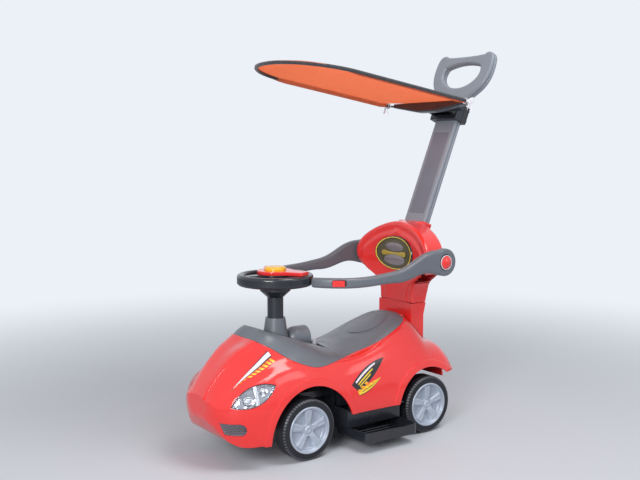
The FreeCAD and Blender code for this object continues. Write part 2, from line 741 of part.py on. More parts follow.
def seat_drum(gap):
    """Round cutter about the seat hinge, so that the lid's front edge clears the dash as it lifts."""
    reach_y = hinge_y() - along(SEAT_SEAM_SHARE)
    reach_z = hinge_z() - DASH_REAR_HEIGHT_SHARE * BODY_HEIGHT
    radius = math.sqrt(reach_y ** 2 + reach_z ** 2) + gap
    return rod_x(radius, -BODY_HALF_WIDTH, BODY_HALF_WIDTH, hinge_y(), hinge_z())


def dash_pod():
    rear_y = along(POD_REAR_SHARE)
    middle_y = rear_y - POD_LENGTH
    z = dash_floor_z(middle_y) + POD_RADIUS / 8
    barrel = rod_y(POD_RADIUS, middle_y, rear_y, 0, z)
    nose = Part.makeSphere(POD_RADIUS, vec(0, middle_y, z))
    return barrel.fuse(nose).common(dash_slope(BODY_WALL / 2))


def dash_panel(top):
    rear = seat_drum(RUN_GAP)
    band = top.cut(rear).cut(dash_slope(0))
    floor = OUTER.common(dash_slope(BODY_WALL)).cut(dash_slope(0)).common(above_belt(SEAM_GAP)).cut(rear)
    panel = fused([band, floor, dash_pod()])
    return panel.cut(rod_z(COLUMN_RADIUS + RUN_GAP, 0, BODY_HEIGHT * 2, STEER_Y))


def column_collar():
    low_z = dash_floor_z(STEER_Y) - COLLAR_BASE_RADIUS / 2
    cone = cone_z(COLLAR_BASE_RADIUS, COLLAR_TOP_RADIUS, low_z, COLLAR_TOP_Z, STEER_Y)
    bore = rod_z(COLUMN_RADIUS + RUN_GAP, 0, BODY_HEIGHT * 2, STEER_Y)
    return cone.common(dash_slope(0)).cut(bore).cut(dash_pod())


def seat_catch():
    rear_y = along(SEAT_SEAM_SHARE) - CATCH_LENGTH / 4
    block = wide_box(CATCH_WIDTH / 2, rear_y - CATCH_LENGTH, rear_y, 0, dash_floor_z(rear_y) + CATCH_HEIGHT)
    return block.common(dash_slope(0))


def seat_lid(top):
    groove = above_belt(SEAT_GROOVE_RISE).cut(above_belt(SEAT_GROOVE_RISE + SEAT_GROOVE_WIDTH))
    lid = top.common(seat_drum(0)).cut(groove.cut(body_form(SEAT_GROOVE_DEPTH)))
    x0 = HINGE_HALF_WIDTH - HINGE_KNUCKLE * 2
    x1 = HINGE_HALF_WIDTH - HINGE_KNUCKLE
    ear = rod_x(HINGE_RADIUS, x0, x1, hinge_y(), hinge_z())
    tongue_front = hinge_y() - HINGE_RADIUS * 8
    tongue = box(x0, x1, tongue_front, hinge_y(), hinge_z() - HINGE_RADIUS, BODY_HEIGHT).common(OUTER)
    knuckle = ear.fuse(tongue)
    lid = fused([lid, knuckle, mirrored(knuckle)])
    bore = HINGE_PIN_RADIUS + SHAFT_GAP
    return lid.cut(rod_x(bore, -BODY_HALF_WIDTH, BODY_HALF_WIDTH, hinge_y(), hinge_z()))


TOP = grey_top()
keep("body_shell", body_shell())
keep("dash_panel", dash_panel(TOP))
keep("column_collar", column_collar())
keep("seat_catch", seat_catch())
keep("seat_lid", seat_lid(TOP))
keep("seat_hinge_pin", rod_x(HINGE_PIN_RADIUS, -HINGE_HALF_WIDTH, HINGE_HALF_WIDTH, hinge_y(), hinge_z()))
keep_pair("headlight_lens", OUTER.common(leaf_prism(-SEAM_GAP)).cut(INNER))
REFLECTOR = LINER.common(leaf_prism(REFLECTOR_RIM)).cut(body_form(BODY_WALL + SEAM_GAP + REFLECTOR_DEPTH))
keep_pair("headlight_reflector", REFLECTOR)
GRILLE = body_form(FOG_RECESS).common(fog_prism(-SEAM_GAP)).cut(body_form(FOG_RECESS + FOG_GRILLE_WALL))
keep_pair("fog_grille", GRILLE.cut(fog_slots()))


BACK_TOP_Z = TOWER_TOP_Z + BACKREST_RISE
FACE_Y = along(BACKREST_FRONT_SHARE)
PIVOT_Y = along(PIVOT_SHARE)
PIVOT_Z = TOWER_TOP_Z + PIVOT_RISE
ARM_INNER_X = BACKREST_HALF_WIDTH + ARM_GAP
ARM_OUTER_X = ARM_INNER_X + ARM_THICKNESS


def stem_block(front, grow, low, high):
    """Block round the handle's stem, grown on its sides and moved forward at the front."""
    foot = handle_foot()
    half = HANDLE_HALF_WIDTH + grow
    rear = foot.y + HANDLE_DEPTH + grow
    return to_handle_lean(box(-half, half, foot.y - front, rear, foot.z + low, foot.z + high))


def rim_edges(shape, radius):
    """Edges of the backrest's outline that lie at a radius from the bend axis."""
    rims = []
    for edge in shape.Edges:
        middle = edge.valueAt((edge.FirstParameter + edge.LastParameter) / 2)
        off = math.hypot(middle.x, middle.y - bend_axis_y()) - radius
        if abs(off) < SEAM_GAP and edge.BoundBox.ZLength > BACKREST_ROUND:
            rims.append(edge)
    return rims


def backrest_front():
    block = bent_slab(0, BACKREST_SPLIT, TOWER_TOP_Z, BACK_TOP_Z).common(backrest_outline(0))
    block = block.makeFillet(BACKREST_ROUND, rim_edges(block, BACKREST_BEND_RADIUS))
    hollow = bent_slab(BACKREST_WALL, BACKREST_DEPTH, TOWER_TOP_Z, BACK_TOP_Z)
    panel = bent_slab(-PANEL_PROUD, BACKREST_WALL, TOWER_TOP_Z, BACK_TOP_Z)
    panel = panel.common(backrest_outline(PANEL_INSET))
    return fused([block.cut(hollow.common(backrest_outline(BACKREST_WALL))), panel])


def oval_prism(inset):
    """Level oval through the backrest where the badge sits."""
    y = bend_axis_y()
    z = TOWER_TOP_Z + BADGE_RISE
    side = vec(BADGE_HALF_WIDTH - inset, y, z)
    top = vec(0, y, z + BADGE_HALF_HEIGHT - inset)
    rim = Part.Ellipse(side, top, vec(0, y, z)).toShape()
    return face_of([rim]).extrude(vec(0, BACKREST_BEND_RADIUS * 2, 0))


def backrest_badge():
    front = -PANEL_PROUD - BADGE_DEPTH
    plate = bent_slab(front, -PANEL_PROUD, TOWER_TOP_Z, BACK_TOP_Z).common(oval_prism(0))
    dish = bent_slab(front, front + BADGE_DEPTH / 3, TOWER_TOP_Z, BACK_TOP_Z).common(oval_prism(BADGE_RIM))
    return plate.cut(dish)


def backrest_rear():
    block = bent_slab(BACKREST_SPLIT, BACKREST_DEPTH, TOWER_TOP_Z, BACK_TOP_Z)
    block = block.common(backrest_outline(0))
    block = block.makeFillet(BACKREST_ROUND, rim_edges(block, BACKREST_BEND_RADIUS + BACKREST_DEPTH))
    block = block.cut(behind_lean(0))
    hollow = bent_slab(0, BACKREST_DEPTH - BACKREST_WALL, TOWER_TOP_Z, BACK_TOP_Z)
    hollow = hollow.common(backrest_outline(BACKREST_WALL)).cut(behind_lean(BACKREST_WALL))
    shell = block.cut(hollow)
    ahead = bent_slab(-BACKREST_BEND_RADIUS / 2, BACKREST_SPLIT, 0, BACK_TOP_Z + OVERRUN)
    boss_start = TOWER_HALF_WIDTH * 3 / 2
    boss = rod_x(PIVOT_FLANGE_RADIUS, boss_start, BACKREST_HALF_WIDTH, PIVOT_Y, PIVOT_Z).cut(ahead)
    socket = stem_block(HANDLE_DEPTH * 2 / 3, SEAM_GAP + SOCKET_WALL, -HANDLE_SOCKET_DEPTH, 0).cut(ahead)
    socket = socket.cut(wide_box(BODY_HALF_WIDTH, FACE_Y, TAIL_Y * 2, BACK_TOP_Z, BACK_TOP_Z * 2))
    shell = fused([shell, boss, mirrored(boss), socket])
    shell = shell.cut(stem_block(SEAM_GAP, SEAM_GAP, -HANDLE_SOCKET_DEPTH, OVERRUN))
    return shell.cut(rod_x(PIVOT_PIN_RADIUS, -BACKREST_HALF_WIDTH, BACKREST_HALF_WIDTH, PIVOT_Y, PIVOT_Z))


def arm_pivot():
    flange = rod_x(PIVOT_FLANGE_RADIUS, BACKREST_HALF_WIDTH, ARM_INNER_X - RUN_GAP, PIVOT_Y, PIVOT_Z)
    pin = rod_x(PIVOT_PIN_RADIUS, TOWER_HALF_WIDTH * 3 / 2, ARM_INNER_X + PIVOT_PIN_REACH, PIVOT_Y, PIVOT_Z)
    return flange.fuse(pin)


def arm_point(row):
    in_share, length_share = row[:2]
    x = ARM_INNER_X + ARM_THICKNESS / 2 - in_share * ARM_REACH_IN
    return vec(x, PIVOT_Y - length_share * ARM_LENGTH, PIVOT_Z)


def rounded_loop(centre, across, low, high, half, radius):
    """Upright rounded rectangle: across is the level direction, low and high are heights from the centre."""
    mid = radius * (1 - math.sqrt(2) / 2)

    def at(u, v):
        return centre + across * u + Z_AXIS * v

    edges = []
    edges.append(line(at(-half + radius, low), at(half - radius, low)))
    edges.append(arc(at(half - radius, low), at(half - mid, low + mid), at(half, low + radius)))
    edges.append(line(at(half, low + radius), at(half, high - radius)))
    edges.append(arc(at(half, high - radius), at(half - mid, high - mid), at(half - radius, high)))
    edges.append(line(at(half - radius, high), at(-half + radius, high)))
    edges.append(arc(at(-half + radius, high), at(-half + mid, high - mid), at(-half, high - radius)))
    edges.append(line(at(-half, high - radius), at(-half, low + radius)))
    edges.append(arc(at(-half, low + radius), at(-half + mid, low + mid), at(-half + radius, low)))
    return Part.Wire(edges)


def arm_beam():
    """Curved beam of the left arm from its front tip to the pivot."""
    rows = ARM_STATION_SHARES
    wires = []
    for index, row in enumerate(rows):
        before = arm_point(rows[max(index - 1, 0)])
        after = arm_point(rows[min(index + 1, len(rows) - 1)])
        run = (after - before).normalize()
        across = vec(run.y, -run.x, 0)
        centre = arm_point(row)
        low = row[3] * ARM_DROP
        high = row[2] * ARM_DROP
        wires.append(rounded_loop(centre, across, low, high, ARM_THICKNESS / 2, ARM_CORNER_RADIUS))
    return Part.makeLoft(wires, True, False)


def at_latch(shape):
    """Carry a shape to the latch's place: X points out of the arm, Y back along it."""
    front = arm_point(ARM_STATION_SHARES[1])
    rear = arm_point(ARM_STATION_SHARES[2])
    run = rear - front
    shape.rotate(ORIGIN, Z_AXIS, -math.degrees(math.atan2(run.x, run.y)))
    middle = (ARM_STATION_SHARES[1][2] + ARM_STATION_SHARES[1][3]) / 2 * ARM_DROP
    shape.translate((front + rear) / 2 + vec(0, 0, middle))
    return shape


def latch_block(gap, travel):
    half = LATCH_LENGTH / 2
    high = LATCH_WIDTH / 2 + gap
    outer_x = ARM_THICKNESS / 2 + LATCH_PROUD
    return box(outer_x - LATCH_HEIGHT - gap, outer_x + gap, -half - gap, half + travel + gap, -high, high)


def arm_latch():
    ribs = []
    outer_x = ARM_THICKNESS / 2 + LATCH_PROUD
    half = LATCH_WIDTH / 3
    for share in LATCH_RIB_SHARES:
        y = share * LATCH_LENGTH
        ribs.append(box(outer_x, outer_x + LATCH_PROUD / 2, y, y + LATCH_PROUD, -half, half))
    return at_latch(fused([latch_block(0, 0)] + ribs))


def arm():
    boss = rod_x(ARM_BOSS_RADIUS, ARM_INNER_X, ARM_OUTER_X, PIVOT_Y, PIVOT_Z)
    rims = [edge for edge in boss.Edges if isinstance(edge.Curve, Part.Circle)]
    boss = boss.makeFillet(ARM_CORNER_RADIUS / 2, rims)
    beam = arm_beam().cut(rod_z(RIM_RADIUS + ARM_TIP_GAP, RIM_LOW_Z - OVERRUN, PIVOT_Z, STEER_Y))
    whole = fused([beam, boss])
    floor_x = ARM_OUTER_X - ARM_BUTTON_DEPTH - ARM_BUTTON_TRAVEL - RUN_GAP
    pocket = rod_x(ARM_BUTTON_RADIUS + RUN_GAP, floor_x, ARM_OUTER_X + OVERRUN, PIVOT_Y, PIVOT_Z)
    bore_end = ARM_INNER_X + PIVOT_PIN_REACH + RUN_GAP
    bore = rod_x(PIVOT_PIN_RADIUS + SHAFT_GAP, ARM_INNER_X, bore_end, PIVOT_Y, PIVOT_Z)
    return whole.cut(pocket).cut(bore).cut(at_latch(latch_block(RUN_GAP, LATCH_TRAVEL)))


def arm_button():
    low_x = ARM_OUTER_X - ARM_BUTTON_DEPTH
    disc = rod_x(ARM_BUTTON_RADIUS, low_x, ARM_OUTER_X + ARM_BUTTON_PROUD, PIVOT_Y, PIVOT_Z)
    return disc.makeFillet(ARM_BUTTON_PROUD * 3 / 4, [outer_rim(disc)])


def outer_rim(disc):
    """The round edge of a disc that lies farthest along X."""
    rims = [edge for edge in disc.Edges if isinstance(edge.Curve, Part.Circle)]
    return max(rims, key=lambda edge: edge.CenterOfMass.x)


def handle_shell(front):
    """One half of the push handle, hollow in the stem and rounded along its outer edge."""
    foot = handle_foot()
    half_depth = HANDLE_DEPTH / 2
    face = handle_outline(0, -HANDLE_SOCKET_DEPTH)
    if not front:
        face.translate(vec(0, half_depth, 0))
    block = face.extrude(vec(0, half_depth, 0))
    show_y = foot.y if front else foot.y + HANDLE_DEPTH
    rim = []
    for edge in block.Edges:
        if abs(edge.BoundBox.YMin - show_y) < SEAM_GAP and edge.BoundBox.YLength < SEAM_GAP:
            rim.append(edge)
    block = block.makeFillet(HANDLE_EDGE_RADIUS, rim)
    inner_half = HANDLE_HALF_WIDTH - SOCKET_WALL
    cavity_rear = foot.y + HANDLE_DEPTH - SOCKET_WALL
    cavity_low = foot.z - HANDLE_SOCKET_DEPTH + SOCKET_WALL
    cavity_top = foot.z + GRIP_START_SHARE * HANDLE_LENGTH
    cavity = wide_box(inner_half, foot.y + SOCKET_WALL, cavity_rear, cavity_low, cavity_top)
    block = block.cut(cavity)
    if front:
        block = block.cut(inlay_plate(SEAM_GAP, OVERRUN))
    else:
        block = block.cut(handle_screw_set(SHAFT_GAP))
    return block


def inlay_plate(gap, ahead):
    foot = handle_foot()
    half = INLAY_HALF_WIDTH + gap
    low_z = foot.z + INLAY_LOW - gap
    return wide_box(half, foot.y - ahead, foot.y + INLAY_DEPTH, low_z, foot.z + INLAY_HIGH + gap)


def handle_screw_set(gap):
    """Screws through the rear half at its rim, as one set."""
    foot = handle_foot()
    y = foot.y + HANDLE_DEPTH
    screws = []
    for x_share, t_share in HANDLE_SCREW_SHARES:
        for side in (-1, 1):
            x = side * x_share * HANDLE_HALF_WIDTH
            z = foot.z + t_share * HANDLE_LENGTH
            shank = rod_y(SCREW_RADIUS + gap, y - HANDLE_DEPTH / 2, y, x, z)
            screws.append(shank.fuse(rod_y(SCREW_HEAD_RADIUS + gap, y - SCREW_HEAD, y + gap, x, z)))
    return Part.Compound(screws)


def clamp_block(front):
    """One half of the canopy clamp round the stem, before it leans with the handle."""
    foot = handle_foot()
    half = HANDLE_HALF_WIDTH + CLAMP_WALL
    split_y = foot.y + HANDLE_DEPTH / 2
    low_z = foot.z + CLAMP_LOW
    high_z = low_z + CLAMP_HEIGHT
    if front:
        block = wide_box(half, foot.y - CLAMP_FRONT_DEPTH, split_y - RUN_GAP, low_z, high_z)
    else:
        block = wide_box(half, split_y + RUN_GAP, foot.y + HANDLE_DEPTH + CLAMP_WALL, low_z, high_z)
    upright = [edge for edge in block.Edges if edge.BoundBox.ZLength > CLAMP_HEIGHT / 2]
    outer_y = block.BoundBox.YMin if front else block.BoundBox.YMax
    corners = [edge for edge in upright if abs(edge.CenterOfMass.y - outer_y) < RUN_GAP]
    block = block.makeFillet(CLAMP_WALL / 2, corners)
    stem_half = HANDLE_HALF_WIDTH + SEAM_GAP
    stem_rear = foot.y + HANDLE_DEPTH + SEAM_GAP
    stem = wide_box(stem_half, foot.y - SEAM_GAP, stem_rear, low_z - OVERRUN, high_z + OVERRUN)
    return block.cut(stem)


def lug_place():
    """Canopy pivot on the upright handle, and in its true leaning place."""
    foot = handle_foot()
    upright = vec(0, foot.y - CLAMP_FRONT_DEPTH - LUG_REACH, foot.z + CLAMP_LOW + LUG_RISE)
    return upright, foot + FreeCAD.Rotation(X_AXIS, -HANDLE_LEAN).multVec(upright - foot)


def clamp_front():
    upright = lug_place()[0]
    x0 = STEM_HALF_WIDTH + RUN_GAP
    ear = rod_x(LUG_RADIUS, x0, x0 + LUG_WIDTH, upright.y, upright.z)
    neck_low = upright.z - LUG_RADIUS
    neck_high = upright.z + LUG_RADIUS
    neck = box(x0, x0 + LUG_WIDTH, upright.y, upright.y + LUG_REACH, neck_low, neck_high)
    ear = ear.fuse(neck)
    block = fused([clamp_block(True), ear, mirrored(ear)])
    bore = rod_x(PIVOT_BOLT_RADIUS, -CANOPY_HALF_WIDTH, CANOPY_HALF_WIDTH, upright.y, upright.z)
    return to_handle_lean(block.cut(bore).cut(clamp_screw_set(SHAFT_GAP)))


def clamp_rear():
    return to_handle_lean(clamp_block(False).cut(clamp_screw_set(SHAFT_GAP)))


def clamp_screw_set(gap):
    foot = handle_foot()
    y = foot.y + HANDLE_DEPTH + CLAMP_WALL
    x = HANDLE_HALF_WIDTH + CLAMP_WALL / 2
    head_radius = CLAMP_WALL / 2 - SEAM_GAP * 2 + gap
    screws = []
    for t_share in CLAMP_SCREW_SHARES:
        z = foot.z + CLAMP_LOW + t_share * CLAMP_HEIGHT
        for side in (-1, 1):
            shank = rod_y(SCREW_RADIUS - SEAM_GAP + gap, foot.y, y, side * x, z)
            screws.append(shank.fuse(rod_y(head_radius, y - SCREW_HEAD, y + gap, side * x, z)))
    return Part.Compound(screws)


def canopy_bolt():
    pivot = lug_place()[1]
    end_x = STEM_HALF_WIDTH + RUN_GAP + LUG_WIDTH
    shank = rod_x(PIVOT_BOLT_RADIUS, -end_x, end_x + KNOB_LENGTH / 2, pivot.y, pivot.z)
    head = rod_x(LUG_RADIUS * 2 / 3, -end_x - PIVOT_BOLT_RADIUS, -end_x, pivot.y, pivot.z)
    return shank.fuse(head)


def canopy_knob():
    pivot = lug_place()[1]
    x0 = STEM_HALF_WIDTH + RUN_GAP * 2 + LUG_WIDTH
    knob = rod_x(KNOB_RADIUS, x0, x0 + KNOB_LENGTH, pivot.y, pivot.z)
    knob = knob.makeFillet(KNOB_RADIUS / 4, [outer_rim(knob)])
    flutes = []
    for index in range(KNOB_FLUTES):
        groove = rod_x(KNOB_RADIUS / 5, x0, x0 + KNOB_LENGTH * 2, pivot.y + KNOB_RADIUS, pivot.z)
        flutes.append(turned(groove, pivot, X_AXIS, index * FULL_TURN / KNOB_FLUTES))
    bore_end = STEM_HALF_WIDTH + RUN_GAP + LUG_WIDTH + KNOB_LENGTH / 2 + RUN_GAP
    return knob.cut(flutes).cut(rod_x(PIVOT_BOLT_RADIUS + SHAFT_GAP, x0, bore_end, pivot.y, pivot.z))


def canopy_tilted(shape):
    return turned(shape, lug_place()[1], X_AXIS, -CANOPY_TILT)


def crossbar(y, z):
    """Wing-like bar across the car, deep at its middle and thin at its ends."""
    end = CROSSBAR_END / 2
    half = [(CROSSBAR_HALF, end), (CROSSBAR_HALF, -end), (STEM_HALF_WIDTH, -CROSSBAR_DROP)]
    other = [(-x, drop) for x, drop in reversed(half)]
    front_y = y - CROSSBAR_DEPTH / 2
    face = polygon([vec(x, front_y, z + rise) for x, rise in half + other])
    bar = face.extrude(vec(0, CROSSBAR_DEPTH, 0))
    long_edges = [edge for edge in bar.Edges if edge.BoundBox.XLength > STEM_HALF_WIDTH]
    return bar.makeFillet(CROSSBAR_ROUND, long_edges)


def canopy_bracket():
    pivot = lug_place()[1]
    bar_y = pivot.y - CROSSBAR_AHEAD
    barrel = rod_x(LUG_RADIUS, -STEM_HALF_WIDTH, STEM_HALF_WIDTH, pivot.y, pivot.z)
    neck_half = LUG_RADIUS * 3 / 4
    neck = wide_box(STEM_HALF_WIDTH, bar_y, pivot.y, pivot.z - neck_half, pivot.z + neck_half)
    whole = fused([barrel, neck, crossbar(bar_y, pivot.z)])
    bore = PIVOT_BOLT_RADIUS + SHAFT_GAP
    whole = whole.cut(rod_x(bore, -STEM_HALF_WIDTH, STEM_HALF_WIDTH, pivot.y, pivot.z))
    socket = rod_x(HOOP_RADIUS, CROSSBAR_HALF - HOOP_PLUG, CROSSBAR_HALF, bar_y, pivot.z)
    return canopy_tilted(whole.cut(socket).cut(mirrored(socket)))


def canopy_hoop():
    """Wire that carries the cloth: out of the crossbar, along both sides and round the front."""
    pivot = lug_place()[1]
    bar_y = pivot.y - CROSSBAR_AHEAD
    side = CANOPY_HALF_WIDTH - HOOP_RADIUS * 2
    bend = side - CROSSBAR_HALF
    front_y = pivot.y - CANOPY_FRONT + HOOP_RADIUS * 2
    corner = CANOPY_FRONT_CORNER
    diagonal = math.sqrt(2) / 2
    rear_cut = bend * (1 - diagonal)
    front_cut = corner * (1 - diagonal)

    def at(x, y):
        return vec(x, y, pivot.z)

    rear_middle = at(CROSSBAR_HALF + bend * diagonal, bar_y - rear_cut)
    front_middle = at(side - front_cut, front_y + front_cut)
    half = [
        line(at(CROSSBAR_HALF - HOOP_PLUG, bar_y), at(CROSSBAR_HALF, bar_y)),
        arc(at(CROSSBAR_HALF, bar_y), rear_middle, at(side, bar_y - bend)),
        line(at(side, bar_y - bend), at(side, front_y + corner)),
        arc(at(side, front_y + corner), front_middle, at(side - corner, front_y)),
    ]
    middle = [line(at(side - corner, front_y), at(-side + corner, front_y))]
    path = Part.Wire(Part.__sortEdges__(half + middle + [mirrored(edge) for edge in half]))
    start = at(CROSSBAR_HALF - HOOP_PLUG, bar_y)
    ring = Part.Wire([Part.makeCircle(HOOP_RADIUS, start, X_AXIS)])
    return canopy_tilted(path.makePipeShell([ring], True, False))


def canopy_fabric():
    """Domed cloth, a closed thin solid just above the wire."""
    pivot = lug_place()[1]
    low_z = pivot.z + HOOP_RADIUS + SEAM_GAP
    length = CANOPY_FRONT - CANOPY_REAR
    corner = CANOPY_FRONT_CORNER
    wires = []
    for share in CANOPY_STATION_SHARES:
        run = share * length
        inside = max(0, corner - run)
        half = CANOPY_HALF_WIDTH - corner + math.sqrt(corner ** 2 - inside ** 2)
        crown = (CANOPY_CROWN + share * (CANOPY_REAR_CROWN - CANOPY_CROWN)) * (half / CANOPY_HALF_WIDTH) ** 2
        y = pivot.y - CANOPY_FRONT + run
        top_z = low_z + CANOPY_THICKNESS
        under = arc(vec(-half, y, low_z), vec(0, y, low_z + crown), vec(half, y, low_z))
        over = arc(vec(half, y, top_z), vec(0, y, top_z + crown), vec(-half, y, top_z))
        left_end = line(vec(half, y, low_z), vec(half, y, top_z))
        right_end = line(vec(-half, y, top_z), vec(-half, y, low_z))
        wires.append(Part.Wire([under, left_end, over, right_end]))
    return canopy_tilted(Part.makeLoft(wires, True, False))


keep("backrest_front", backrest_front())
keep("backrest_rear", backrest_rear())
keep("backrest_badge", backrest_badge())
keep_pair("arm_pivot", arm_pivot())
keep_pair("arm", arm())
keep_pair("arm_button", arm_button())
keep_pair("arm_latch", arm_latch())
keep("handle_front", to_handle_lean(handle_shell(True)))
keep("handle_rear", to_handle_lean(handle_shell(False)))
keep("handle_inlay", to_handle_lean(inlay_plate(0, 0)))
keep("handle_screws", to_handle_lean(handle_screw_set(0)))
keep("canopy_clamp_front", clamp_front())
keep("canopy_clamp_rear", clamp_rear())
keep("clamp_screws", to_handle_lean(clamp_screw_set(0)))
keep("canopy_bolt", canopy_bolt())
keep("canopy_knob", canopy_knob())
keep("canopy_bracket", canopy_bracket())
keep("canopy_hoop", canopy_hoop())
keep("canopy_fabric", canopy_fabric())


HUB_TOP_Z = RIM_LOW_Z + RIM_HEIGHT
HUB_LOW_Z = RIM_LOW_Z - BOWL_DROP + BOWL_CONE
COLUMN_TOP_Z = RIM_LOW_Z - BOWL_DROP
COVER_TOP_Z = HUB_TOP_Z + COVER_THICKNESS


def radial_bar(r0, r1, width0, width1, z0, z1, angle):
    """Tapered bar that runs out from the steering axis."""
    right = [vec(r0, -width0 / 2, z0), vec(r1, -width1 / 2, z0)]
    left = [vec(r1, width1 / 2, z0), vec(r0, width0 / 2, z0)]
    bar = polygon(right + left).extrude(vec(0, 0, z1 - z0))
    bar.rotate(ORIGIN, Z_AXIS, angle)
    bar.translate(vec(0, STEER_Y, 0))
    return bar


def steering_wheel():
    inner_radius = RIM_RADIUS - RIM_THICKNESS
    rim = rod_z(RIM_RADIUS, RIM_LOW_Z, RIM_LOW_Z + RIM_HEIGHT, STEER_Y)
    rim = rim.cut(rod_z(inner_radius, 0, BODY_HEIGHT * 2, STEER_Y))
    rim = rim.makeFillet(RIM_ROUND, [edge for edge in rim.Edges if isinstance(edge.Curve, Part.Circle)])
    cone = cone_z(COLUMN_RADIUS, BOWL_RADIUS, COLUMN_TOP_Z, HUB_LOW_Z, STEER_Y)
    bowl = rod_z(BOWL_RADIUS, HUB_LOW_Z, RIM_LOW_Z, STEER_Y)
    hub = rod_z(HUB_RADIUS, RIM_LOW_Z, HUB_TOP_Z, STEER_Y)
    spoke_end = inner_radius + RIM_ROUND
    spoke_low = HUB_TOP_Z - SPOKE_THICKNESS
    spokes = []
    for angle in SPOKE_ANGLES:
        spokes.append(radial_bar(BOWL_RADIUS, spoke_end, SPOKE_WIDTH, SPOKE_WIDTH, spoke_low, HUB_TOP_Z, angle))
    wheel = fused([rim, cone, bowl, hub] + spokes)
    pocket = rod_z(HORN_RADIUS + RUN_GAP, HUB_TOP_Z - HORN_TRAVEL, HUB_TOP_Z, STEER_Y)
    return wheel.cut(pocket).cut(rod_z(STEERING_SHAFT_RADIUS, 0, HUB_LOW_Z, STEER_Y))


def steering_hub_cover():
    disc = rod_z(HUB_RADIUS, HUB_TOP_Z, COVER_TOP_Z, STEER_Y)
    lobes = []
    for angle in SPOKE_ANGLES[:2]:
        widths = (LOBE_ROOT_WIDTH, LOBE_TIP_WIDTH)
        lobes.append(radial_bar(HORN_RADIUS, LOBE_REACH, *widths, HUB_TOP_Z, COVER_TOP_Z, angle))
    cover = fused([disc] + lobes)
    cover = cover.common(rod_z(LOBE_REACH, HUB_TOP_Z, COVER_TOP_Z, STEER_Y))
    return cover.cut(rod_z(HORN_RADIUS + RUN_GAP, HUB_TOP_Z, COVER_TOP_Z, STEER_Y))


def horn_button():
    low_z = COVER_TOP_Z - HORN_SINK
    high_z = COVER_TOP_Z + HORN_PROUD
    button = rod_z(HORN_RADIUS, low_z, high_z, STEER_Y)
    top = max(button.Edges, key=lambda edge: edge.BoundBox.ZMin)
    return button.makeFillet(HORN_PROUD * 2 / 3, [top])


def steering_column():
    tube = rod_z(COLUMN_RADIUS, COLUMN_LOW_Z, COLUMN_TOP_Z, STEER_Y)
    return tube.cut(rod_z(STEERING_SHAFT_RADIUS, COLUMN_LOW_Z, COLUMN_TOP_Z, STEER_Y))


def front_carrier():
    """Cross beam that the steering shaft turns, with the front axle through it."""
    low_z = WHEEL_RADIUS - CARRIER_HALF_HEIGHT
    high_z = WHEEL_RADIUS + CARRIER_HALF_HEIGHT
    front_y = FRONT_AXLE_Y - CARRIER_HALF_DEPTH
    beam = wide_box(CARRIER_HALF_WIDTH, front_y, FRONT_AXLE_Y + CARRIER_HALF_DEPTH, low_z, high_z)
    boss = rod_z(CARRIER_BOSS_RADIUS, low_z, PLATFORM_Z - BUSH_FLANGE - RUN_GAP, STEER_Y)
    whole = fused([beam, boss])
    whole = whole.cut(rod_x(AXLE_RADIUS, -CARRIER_HALF_WIDTH, CARRIER_HALF_WIDTH, FRONT_AXLE_Y, WHEEL_RADIUS))
    return whole.cut(rod_z(STEERING_SHAFT_RADIUS, SHAFT_LOW_Z, PLATFORM_Z, STEER_Y))


def steering_bush():
    outer_radius = STEERING_SHAFT_RADIUS + BUSH_WALL
    tube = rod_z(outer_radius, PLATFORM_Z, PLATFORM_Z + BEARING_HEIGHT, STEER_Y)
    flange = rod_z(BEARING_RADIUS, PLATFORM_Z - BUSH_FLANGE, PLATFORM_Z, STEER_Y)
    bore = rod_z(STEERING_SHAFT_RADIUS + SHAFT_GAP, 0, BODY_HEIGHT, STEER_Y)
    return tube.fuse(flange).cut(bore)


def axle_bar(y):
    end_x = TRACK_HALF - WHEEL_WIDTH + WHEEL_HUB_LENGTH + AXLE_CAP_LENGTH
    return rod_x(AXLE_RADIUS, -end_x, end_x, y, WHEEL_RADIUS)


def axle_cap_set(y):
    """Press-on caps at both ends of an axle."""
    x0 = TRACK_HALF - WHEEL_WIDTH + WHEEL_HUB_LENGTH + RUN_GAP
    cap = rod_x(AXLE_CAP_RADIUS, x0, x0 + AXLE_CAP_LENGTH, y, WHEEL_RADIUS)
    cap = cap.cut(rod_x(AXLE_RADIUS, 0, x0 + AXLE_CAP_LENGTH - RUN_GAP, y, WHEEL_RADIUS))
    return Part.Compound([cap, mirrored(cap)])


def rear_bush(left_x, right_x):
    outer_radius = AXLE_RADIUS + BUSH_WALL
    tube = rod_x(outer_radius, left_x, right_x, REAR_AXLE_Y, WHEEL_RADIUS)
    return tube.cut(rod_x(AXLE_RADIUS, left_x, right_x, REAR_AXLE_Y, WHEEL_RADIUS))


def open_box(half_width, y0, y1, z0, z1, wall):
    """Box with walls and a floor, open at the top."""
    outside = wide_box(half_width, y0, y1, z0, z1)
    return outside.cut(wide_box(half_width - wall, y0 + wall, y1 - wall, z0 + wall, z1 + OVERRUN))


